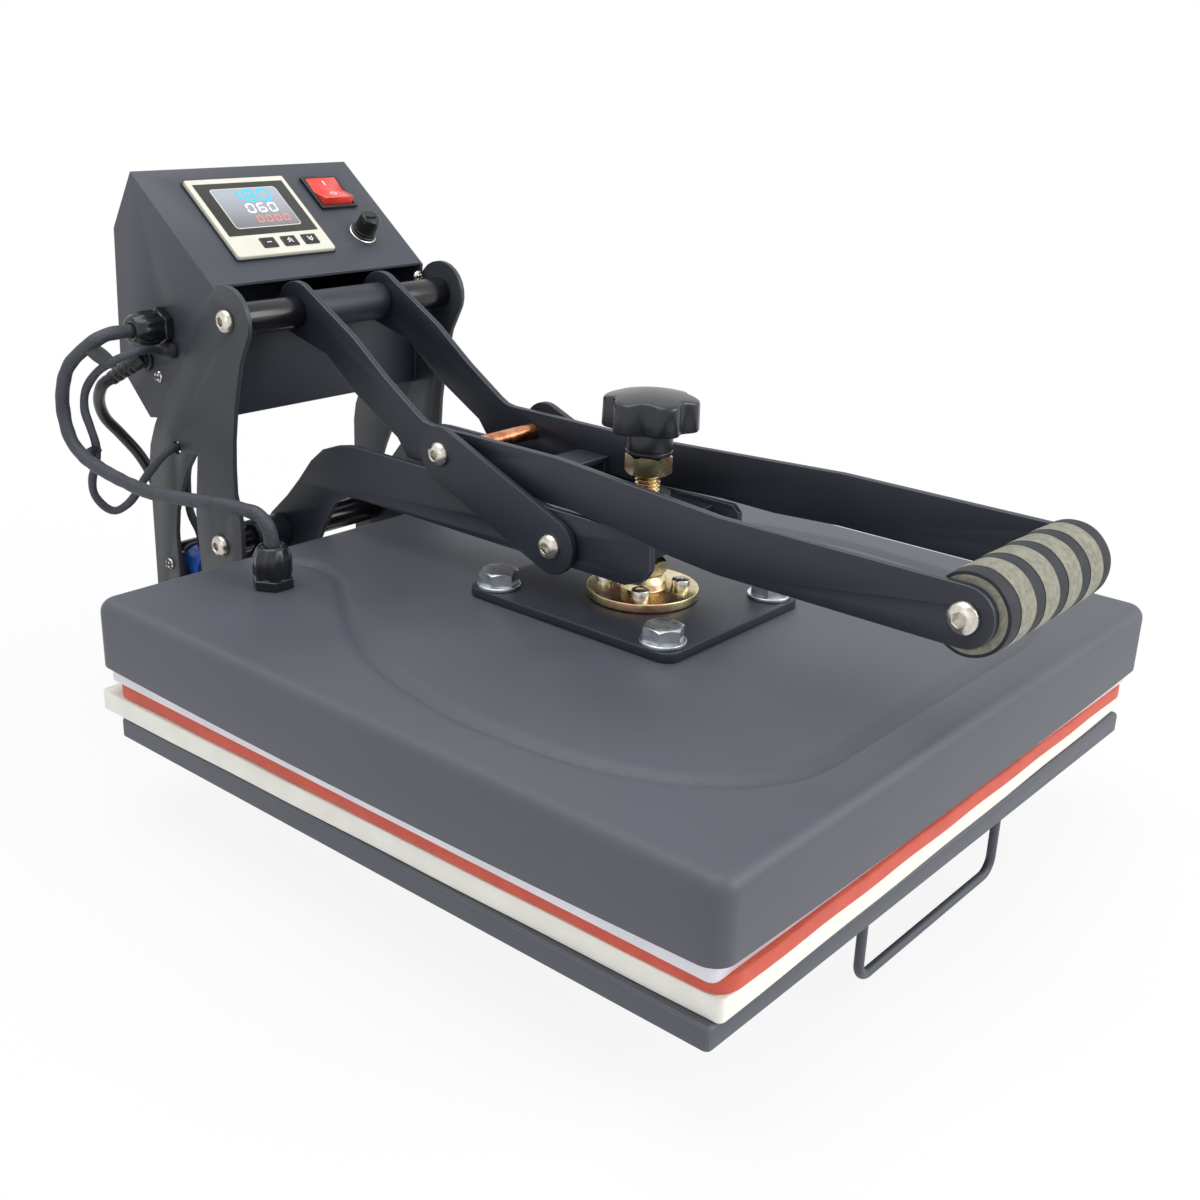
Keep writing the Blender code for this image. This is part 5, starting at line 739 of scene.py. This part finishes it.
washer = polar(eased([(5, 0), (12, 0), (12, 2.1), (5, 2.1)], 0.5), 64)
bolt_parts = []
for k, (x, y) in enumerate(((47, 59), (-47, 59), (-47, -55), (47, -55))):
    bolt = placed(hex_head(9.5, 2.1, 9.6), (x, y, PLATE_TOP + 0.2), about_z(0.35 + 1.1 * k))
    bolt_parts += [placed(washer, (x, y, PLATE_TOP + 0.1)), bolt]
skin("hanger_bolts", bolt_parts, bright_zinc, "platen")

# Swivel flange: a turned disc and hub of yellow zinc plated steel, held by four socket screws. The
# screw's foot turns in it.
SCREW_AXIS = (0, -4.0, 0)


def yellow_zinc(name, size):
    """Yellow chromate on zinc: gold with drifts of rose and green, bright and slightly clouded."""
    made = finish(name, "#c9a868 #d8bd80", (0.22, 0.34), size, 0.5, 0.004, "yellow_zinc", METAL)
    tree = made.node_tree
    where = node(tree, "TexCoord", output="Object")
    places = (0.3, 0.42, 0.5, 0.57, 0.66, 0.8)
    tints = ("#cdbd7c", "#e6dcae", "#e6cd9a", "#e8ac90", "#d6dba8", "#d9cb90")
    drift = ramp(tree, noise(tree, where, size, 1.5), [*zip(places, tints)])
    wire(tree, "Principled BSDF", {"Base Color": drift})
    return made


gold_zinc = yellow_zinc("yellow_zinc", 14)
disc = [(2, 83.9), (30.5, 83.9), (30.5, 88.9), (13.6, 88.9), (12.6, 92.5), (10.5, 96.4), (2, 96.4)]
disc = placed(polar(eased(disc, 0.7), 96), SCREW_AXIS)
skin("turned_flange", [disc], gold_zinc, "platen", "swivel_flange")


def cap_screw(radius, height, flat, around=48):
    """A socket cap screw: a straight wall with an eased rim and a hexagonal socket."""
    socket = hexagon(circle(around), flat)
    wall = [(radius, 0), (radius, height - 0.6), (radius - 0.2, height - 0.2), (radius - 0.6, height)]
    return polar([*wall, (1.1 * socket, height), (socket, height - 0.35), (socket, height - 2.8)], around)


spots = np.radians(35 + 90 * np.arange(4))
spots = np.stack([20.5 * np.cos(spots), 20.5 * np.sin(spots), 0 * spots + 88.9], -1) + SCREW_AXIS
skin("flange_screws", [placed(cap_screw(5, 5, 2.0), spot) for spot in spots], nickel, "platen")

# Pressure screw: a coarse threaded rod with a captive nut at its foot, a lock nut, and a star knob of
# moulded plastic with six lobes on a round hub.
THREAD, PITCH, THREAD_DEPTH = 6.9, 2.0, 1.15
around = np.arange(40) / 40
heights = np.arange(92, 168, 0.2)
phase = (heights[:, None] / PITCH - around) % 1
groove = THREAD_DEPTH * np.clip(1.25 - 2.5 * abs(phase - 0.5), 0, 1)
thread = placed(polar([*zip(THREAD - groove, heights)], 40), SCREW_AXIS)
foot_nut = placed(hex_head(10.8, 96.7, 104.7, True), SCREW_AXIS)
skin("threaded_rod", [thread], gold_zinc, "screw", "pressure_screw")
copper_zinc = yellow_zinc("rose_zinc", 22)
skin("captive_nut", [foot_nut], copper_zinc, "screw")
nut = placed(hex_head(11.0, 151.7, 162.7, True), SCREW_AXIS)
skin("lock_hexagon_nut", [nut], gold_zinc, "screw", "lock_nut")

turn = circle(144)
star = 1 - 0.18 * ((1 - np.cos(6 * turn)) / 2) ** 1.5
hub = [(4, 163), (12.5, 163), (12.5, 164.6), (11.9, 165), (12.5, 165.5), (12.3, 176.5), (4, 176.5)]
hub = eased(hub, 0.3)
KNOB_RADIUS, RIM_TOP, CROWN = 25.7, 191.9, 4.1
plan = KNOB_RADIUS * star
lobes = [(10, 176.4), (plan - 2.2, 176.2), (plan - 0.5, 176.5), (plan, 177.4)]
shares = (0.985, 0.98, 0.96, 0.93, 0.85, 0.7, 0.55, 0.4, 0.25, 0.1)
for share, below in zip(shares, (1.5, 0.8, 0.25, 0, 0, 0, 0, 0, 0, 0)):
    lobes.append((share * plan, RIM_TOP + CROWN * (1 - (share * plan / KNOB_RADIUS) ** 2) - below))
parts = [placed(polar(hub, 64), SCREW_AXIS), placed(polar(lobes, 144), SCREW_AXIS)]
# Moulded knob: near black with a blue cast, glossy on its walls, softer on its crown
knob_plastic = finish("knob_plastic", "#1d2126 #24282e", (0.22, 0.34), 25, 1.2, 0.02, "black_plastic")
skin("star_knob", parts, knob_plastic, "screw", "knob")

# Handle: two cranked arms on the upper shaft with a tube between them, and a grip at the front whose
# foam sleeve has slightly sunk black bands. Links outside the arms draw the carrier down.
GRIP = (0, -217.0, 145.3)
LINK_HEAD = (0, 107.5, 147.7)
LINK_FOOT = (0, 24.0, 114.5)
dress("left_handle_arm right_handle_arm", black_coat, 0.5, black_edge_highlight)
sleeve = placed(polar(eased(mirrored([(6.3, -30.7), (11.2, -30.7)]), 0.6)), HANDLE_PIVOT, ALONG_X)
skin("handle_middle_tube", [sleeve], black_coat, "handle", "handle_tube")
# Copper coloured plating on the pin and its collars
copper = finish("copper_plate", "#b87650 #d69a70", (0.18, 0.32), 8, 0.5, 0.02, "copper_tone", METAL)
pin = mirrored([(1, -40.7), (9, -40.7), (9, -35.3), (4.8, -35.3)])
pin = placed(polar(eased(pin, 0.4)), LINK_HEAD, ALONG_X)
skin("link_pin_collars", [pin], copper, "handle", "link_pin")


def strap(start, end, radius, levels, steps=16):
    """A strap round two points with half round ends, carried through levels of inset and depth."""
    start, end = np.array(start), np.array(end)
    lean = math.atan2(*(end - start)[::-1])
    turn = np.linspace(-math.pi / 2, math.pi / 2, steps + 1) + lean
    out = np.stack([np.cos(turn), np.sin(turn)], -1)
    rows = []
    for inset, depth in levels:
        line = np.concatenate([end + out * (radius - inset), start - out * (radius - inset)])
        rows.append(np.column_stack([line, np.full(len(line), depth)]))
    return np.stack(rows)


LINK_INNER, LINK_OUTER = 41.0, 45.0
link = strap(LINK_FOOT[1:], LINK_HEAD[1:], 15.5, lipped(LINK_INNER, LINK_OUTER, 0.5)) @ ALONG_X
plates = [link, link[::-1] * (-1, 1, 1)]
skin("link_plates", plates, black_coat, "links", "left_link right_link")
link_heads = both_ends(head, LINK_OUTER, LINK_HEAD) + both_ends(head, LINK_OUTER, LINK_FOOT)
skin("link_bolt_heads", link_heads, nickel, "links")
grip_head = domed_head(7.6, 4.4, 3.0)
rod = placed(polar(mirrored([(1, -56), (4, -56), (4, -51.5), (8, -51.5)])), GRIP, ALONG_X)
parts = both_ends(grip_head, 56.3, GRIP) + [rod]
skin("grip_bolt", parts, nickel, "handle", "grip_rod")

# Foam sleeve: olive grey, speckled, slightly open cells
olive_foam = finish("olive_foam", "#858474 #9f9d8d", (0.8, 0.92), 3.0, 0.7, 0.35, "olive_foam")
# Its bands: near black, finer and less matted
band_foam = finish("black_foam_band", "#171a20 #22252c", (0.6, 0.76), 5, 0.6, 0.25)
GRIP_END, BAND, STRIPE = 51.4, 9.2, 14.2
BAND_RADIUS, STRIPE_RADIUS = 18.6, 18.9
ends = np.append(0, np.cumsum([BAND, STRIPE] * 4 + [BAND])) - GRIP_END
profile, dark = [(8.3, -GRIP_END), (17.4, -GRIP_END)], [0, 0]
for k, (low, high) in enumerate(zip(ends, ends[1:])):
    swell = np.sin(np.linspace(0.1, 0.9, 7) * math.pi) ** 0.5
    levels = (STRIPE_RADIUS if k % 2 else BAND_RADIUS) + 0.5 * swell
    profile += [*zip(levels, np.linspace(low + 0.15, high - 0.15, 7))]
    dark += [1 - k % 2] * 7
profile += [(17.4, GRIP_END), (8.3, GRIP_END)]
dark = np.array(dark + [0, 0])
sleeve = placed(polar(profile, 72), GRIP, ALONG_X)
wobble = 1 + 0.004 * np.sin(7 * circle(72) + sleeve[:, :1, 0] / 4)
sleeve[:, :, 1:] = (sleeve[:, :, 1:] - GRIP[1:]) * wobble[..., None] + GRIP[1:]
sleeve = skin("foam_sleeve", [sleeve], olive_foam, "handle", "grip_foam")
sleeve.data.materials.append(band_foam)
which = np.repeat(np.maximum(dark[1:], dark[:-1]), 72)
sleeve.data.polygons.foreach_set("material_index", np.append(which, [0, 0]).astype(np.int32))

# Leads in black woven sleeves: the heater's from the cover's gland up to the box, and the magnet's
# thinner one beside it. Two nylon ties hold them together.
MM = 1000
HEATER_ROUTE = MM * np.array([
    (-0.1250, 0.1550, 0.0990), (-0.1250, 0.1550, 0.1052), (-0.1255, 0.1569, 0.1120),
    (-0.1265, 0.1620, 0.1171), (-0.1285, 0.1695, 0.1189), (-0.1310, 0.1893, 0.1183),
    (-0.1330, 0.2067, 0.1168), (-0.1350, 0.2257, 0.1150), (-0.1370, 0.2511, 0.1134),
    (-0.1380, 0.2745, 0.1149), (-0.1390, 0.2963, 0.1181), (-0.1390, 0.3130, 0.1220),
    (-0.1392, 0.3258, 0.1302), (-0.1392, 0.3312, 0.1450), (-0.1390, 0.3300, 0.1600),
    (-0.1375, 0.3230, 0.1750), (-0.1315, 0.3115, 0.1872), (-0.1225, 0.3072, 0.1930),
    (-0.1130, 0.3067, 0.1940), (-0.1030, 0.3067, 0.1940),
])
MAGNET_ROUTE = MM * np.array([
    (-0.0840, 0.2987, 0.1808), (-0.0910, 0.2987, 0.1808), (-0.1010, 0.2950, 0.1840),
    (-0.1130, 0.2915, 0.1845), (-0.1230, 0.2975, 0.1800), (-0.1280, 0.3090, 0.1720),
    (-0.1305, 0.3190, 0.1600), (-0.1310, 0.3215, 0.1480), (-0.1305, 0.3180, 0.1380),
    (-0.1290, 0.3160, 0.1270), (-0.1280, 0.3190, 0.1150), (-0.1280, 0.3250, 0.1034),
    (-0.1260, 0.3276, 0.0928), (-0.1215, 0.3245, 0.0845), (-0.1170, 0.3200, 0.0820),
    (-0.1120, 0.3150, 0.0860), (-0.1080, 0.3110, 0.0925), (-0.1030, 0.3080, 0.1020),
    (-0.0965, 0.3010, 0.1140), (-0.0910, 0.2975, 0.1200), (-0.0840, 0.2973, 0.1212),
    (-0.0770, 0.2977, 0.1200), (-0.0735, 0.3020, 0.1130), (-0.0730, 0.3075, 0.0950),
    (-0.0710, 0.3095, 0.0750), (-0.0655, 0.3098, 0.0600), (-0.0640, 0.3098, 0.0540),
    (-0.0640, 0.3098, 0.0486),
])
# Woven sleeve: charcoal yarn crossing on the diagonal, satin, with soft creases
sleeve_weave = finish("woven_sleeve", "#33363d #42464e", (0.5, 0.66), 16, 1.5, 0.12, "lead_sleeve")
tree = sleeve_weave.node_tree
lay = {"Vector": node(tree, "UVMap", uv_map="lay")}
around, along = (node(tree, "SeparateXYZ", lay, axis) for axis in "XY")
threads = []
for lean in (12, -12):
    scaled = node(tree, "Math", {0: around, 1: lean}, operation="MULTIPLY")
    laid = node(tree, "Math", {0: along, 1: 0.55, 2: scaled}, operation="MULTIPLY_ADD")
    threads.append(node(tree, "Math", {0: laid, 1: 1.0}, operation="PINGPONG"))
cross = node(tree, "Math", {0: threads[0], 1: threads[1]}, operation="MAXIMUM")
wire(tree, "Principled BSDF", {"Normal": bump(tree, cross, 0.22, 0.7)})


heater_path = spline(HEATER_ROUTE, 2.0)
share = np.linspace(0, 1, len(heater_path))
swell = 4.0 + 0.16 * np.sin(37 * share) * np.sin(71 * share) + 0.1 * np.sin(160 * share)
cord = skin("heater_cord", [tube(heater_path, swell, 24)], sleeve_weave, None, "heater_lead")
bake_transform(cord)
magnet_path = spline(MAGNET_ROUTE, 1.5)
share = np.linspace(0, 1, len(magnet_path))
swell = 2.5 + 0.1 * np.sin(90 * share)
cord = skin("magnet_cord", [tube(magnet_path, swell, 20)], sleeve_weave, "frame", "magnet_lead")


def tie(first, second, heading):
    """A band wrapped round two leads that run side by side: an ellipse about both of their middles."""
    apart = np.array(second) - first
    along = np.array(heading, float) - np.dot(heading, apart) / (apart @ apart) * apart
    along /= np.linalg.norm(along)
    wide, tall = np.linalg.norm(apart) / 2 + 3.7, 4.7
    aside = apart / np.linalg.norm(apart)
    turn = circle(40)
    ellipse = wide * tall / np.hypot(tall * np.cos(turn), wide * np.sin(turn))
    rows = polar([(0.9 * ellipse, -1.8), (ellipse, -1.5), (ellipse, 1.5), (0.9 * ellipse, 1.8)], 40)
    middle = (np.array(first) + second) / 2 + 0.6 * aside
    return placed(rows, middle, np.stack([aside, np.cross(along, aside), along]))


# Nylon tie: black, slightly clear
nylon = finish("black_nylon", "#24262a #2f3236", (0.3, 0.42), 6, 0.5, 0.02)
ties = [
    tie((-139.0, 313.0, 122.0), (-129.6, 316.4, 122.5), (0, 0.85, 0.5)),
    tie((-131.5, 311.5, 187.2), (-124.5, 300.5, 178.6), (-0.7, -0.5, 0.5)),
]
skin("lead_ties", ties, nylon, "frame")

# Mains lead: a round black lead of about 1.7 m from the relief down behind the box to a coil on the bench,
# which ends in a moulded plug with two flat blades and an earth pin.
LEAD = 3.7
PLUG_Y, PLUG_Z = 454.26, -41
COIL_CENTRE = np.array([-5, 402])
COIL_INNER, COIL_PITCH, COIL_TURNS = 31.0, 8.1, 5.25
BENCH = -50.0
MAINS_ROUTE = np.array([
    (-96.2, 339.4, 161.0), (-98.66, 342.6, 158.27), (-102.22, 347.22, 154.22),
    (-98.5, 359, 142), (-91.5, 365.5, 128.5), (-80, 367, 115),
    (-69, 364, 99), (-62, 360, 80), (-59, 357, 55),
    (-58, 355.5, 20), (-58, 356, -5), (-58.3, 359, -24),
    (-58, 366, -38), (-57.5, 377, -45), (-57.26, 387.2, -46.3),
    (-57.26, 394.6, -46.3),
])
turns = np.linspace(0, COIL_TURNS, round(COIL_TURNS * 72) + 1)
from_middle = turns - COIL_TURNS / 2
radius = COIL_INNER + COIL_PITCH * abs(from_middle)
climb = np.clip((from_middle + 0.25) / 0.5, 0, 1)
angle = math.pi - 2 * math.pi * turns
coil = np.stack([
    COIL_CENTRE[0] + radius * np.cos(angle), COIL_CENTRE[1] + radius * np.sin(angle),
    BENCH + LEAD + COIL_PITCH * (3 * climb**2 - 2 * climb**3),
], -1)
tail = [coil[-3], coil[-1], coil[-1] + (15, 0, 0), coil[-1] + (30, 0, 0)]
tail = spline([*tail, *((x, PLUG_Y, PLUG_Z) for x in (32.4, 46, 50))], 3)
tail = tail[np.linalg.norm(tail - coil[-1], axis=1) > 3][1:]
mains_path = np.concatenate([spline(MAINS_ROUTE, 4)[:-1], coil, tail])
# PVC jacket: glossy black, with faint waves along it
pvc = finish("black_pvc", "#0f1012 #17181b", (0.22, 0.34), 30, 4.0, 0.05, "black_pvc")
cord = skin("mains_cord", [tube(mains_path, LEAD, 24)], pvc, "frame", "mains_lead mains_coil")

PLUG_FACE = 94.1
# The plug's body: where along it, half its width and half its height
steps = np.array([
    (40.4, 4.2, 4.2), (44, 4.6, 4.6), (50, 5.2, 5.2), (57, 6, 6), (59, 8.6, 7.4), (61, 11, 8.4),
    (64, 12.6, 8.9), (72, 13, 9), (88, 12.2, 9), (92.5, 12, 9), (93.8, 11.6, 8.6), (PLUG_FACE, 10.8, 7.8),
])
turn = circle(48)
round_ness = np.interp(steps[:, 0], [57, 64], [2.0, 4.5])[:, None]
shape = (abs(np.cos(turn)) ** round_ness + abs(np.sin(turn)) ** round_ness) ** (-1 / round_ness)
wide, tall = steps[:, 1:2] * shape * np.cos(turn), steps[:, 2:] * shape * np.sin(turn)
loft = np.stack([steps[:, :1] + 0 * turn, PLUG_Y + wide, PLUG_Z + tall], -1)
plug = skin("moulded_plug", [loft], pvc, "frame", "plug")
blade = slab((0.75, 3.15), 0.3, [(0, PLUG_FACE - 3), (0, PLUG_FACE + 16.4), (0.5, PLUG_FACE + 17)])
pins = [placed(blade, (0, PLUG_Y + side, PLUG_Z - 3.5), ALONG_X) for side in (-6.35, 6.35)]
earth = [(2.4, PLUG_FACE - 3), (2.4, PLUG_FACE + 19), (2.0, PLUG_FACE + 20.4), (1.2, PLUG_FACE + 21)]
earth = polar(earth, 24)
pins.append(placed(earth, (0, PLUG_Y, PLUG_Z + 4.5), ALONG_X))
plug_pins = skin("plug_pins", pins, nickel, "frame")

# Studio: a plain white floor and surround, and large soft lamps in front, above and to the left. The
# camera stands beyond the left front corner of the press and looks down on it.
scene = bpy.context.scene
scene.view_settings.view_transform = "Standard"


def backdrop(tree, kind):
    """Where the camera, a mirror or glass looks straight at it, and the plain white that it sees there."""
    seen = 0.0
    for ray in ("Is Camera Ray", "Is Glossy Ray", "Is Transmission Ray"):
        looks = node(tree, "LightPath", output=ray)
        seen = node(tree, "Math", {0: seen, 1: looks}, operation="MAXIMUM")
    return seen, node(tree, kind, {"Color": (1, 1, 1, 1), "Strength": 1.0})


surround = bpy.data.worlds.new("studio")
surround.use_nodes = True
scene.world = surround
tree = surround.node_tree
seen, white = backdrop(tree, "Background")
wire(tree, "Background", {"Color": paint("#f4f6fb"), "Strength": 0.45})
ambient = tree.nodes["Background"].outputs[0]
mix = node(tree, "MixShader", {0: seen, 1: ambient, 2: white})
wire(tree, "World Output", {"Surface": mix})

floor_mesh = bpy.data.meshes.new("floor")
floor_mesh.from_pydata([(-30, -30, 0), (30, -30, 0), (30, 30, 0), (-30, 30, 0)], [], [(0, 1, 2, 3)])
added("floor", floor_mesh)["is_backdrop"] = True
# Floor: near white, matt, which takes the shadows and fades to plain white away from the press
pale = finish("pale_floor", "#f3f3f4 #f7f7f8", (0.6, 0.7), 900, 40, 0.1)
tree = pale.node_tree
seen, white = backdrop(tree, "Emission")
where = node(tree, "TexCoord", output="Object")
away = node(tree, "VectorMath", {0: where}, "Value", operation="LENGTH")
grow = {"Value": away, "From Min": 0.3, "From Max": 1.0, "To Min": 0.88, "To Max": 1.0}
fade = node(tree, "MapRange", grow, interpolation_type="SMOOTHSTEP")
share = node(tree, "Math", {0: seen, 1: fade}, operation="MULTIPLY")
lit_floor = tree.nodes["Principled BSDF"].outputs[0]
mix = node(tree, "MixShader", {0: share, 1: lit_floor, 2: white})
wire(tree, "Material Output", {"Surface": mix})
floor_mesh.materials.append(pale)


def stood(name, data, axes, place):
    """A new object turned to three axes, given as rows, and put at a place."""
    made = added(name, data)
    made.matrix_world = Matrix([[*column, spot] for column, spot in zip(axes.T, place)] + [[0, 0, 0, 1]])
    return made


def lamp(name, place, aim, size, power):
    """A square soft lamp at a place, facing a point."""
    light = bpy.data.lights.new(name, "AREA")
    light.size = size
    light.energy = power
    stood(name, light, toward(np.array(place) - aim), place)


lamp("key", (1.3, -2.6, 1.7), (0, 0, 0.1), 2.0, 62)
lamp("overhead", (-0.5, 0.3, 2.6), (0, 0, 0.1), 2.2, 40)
lamp("left_fill", (-2.6, -0.6, 1.2), (0, 0, 0.15), 1.6, 5)

camera_data = bpy.data.cameras.new("camera")
camera_data.lens = 44.05
camera_data.sensor_width = 36.0
right_up_back = np.array([(0.6457, -0.7628, 0.0332), (0.2487, 0.2563, 0.934), (-0.7212, -0.5951, 0.3546)])
eye = DATUM + (-0.5910, -0.463412, 0.3640)
scene.camera = stood("camera", camera_data, right_up_back, eye)

low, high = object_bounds()
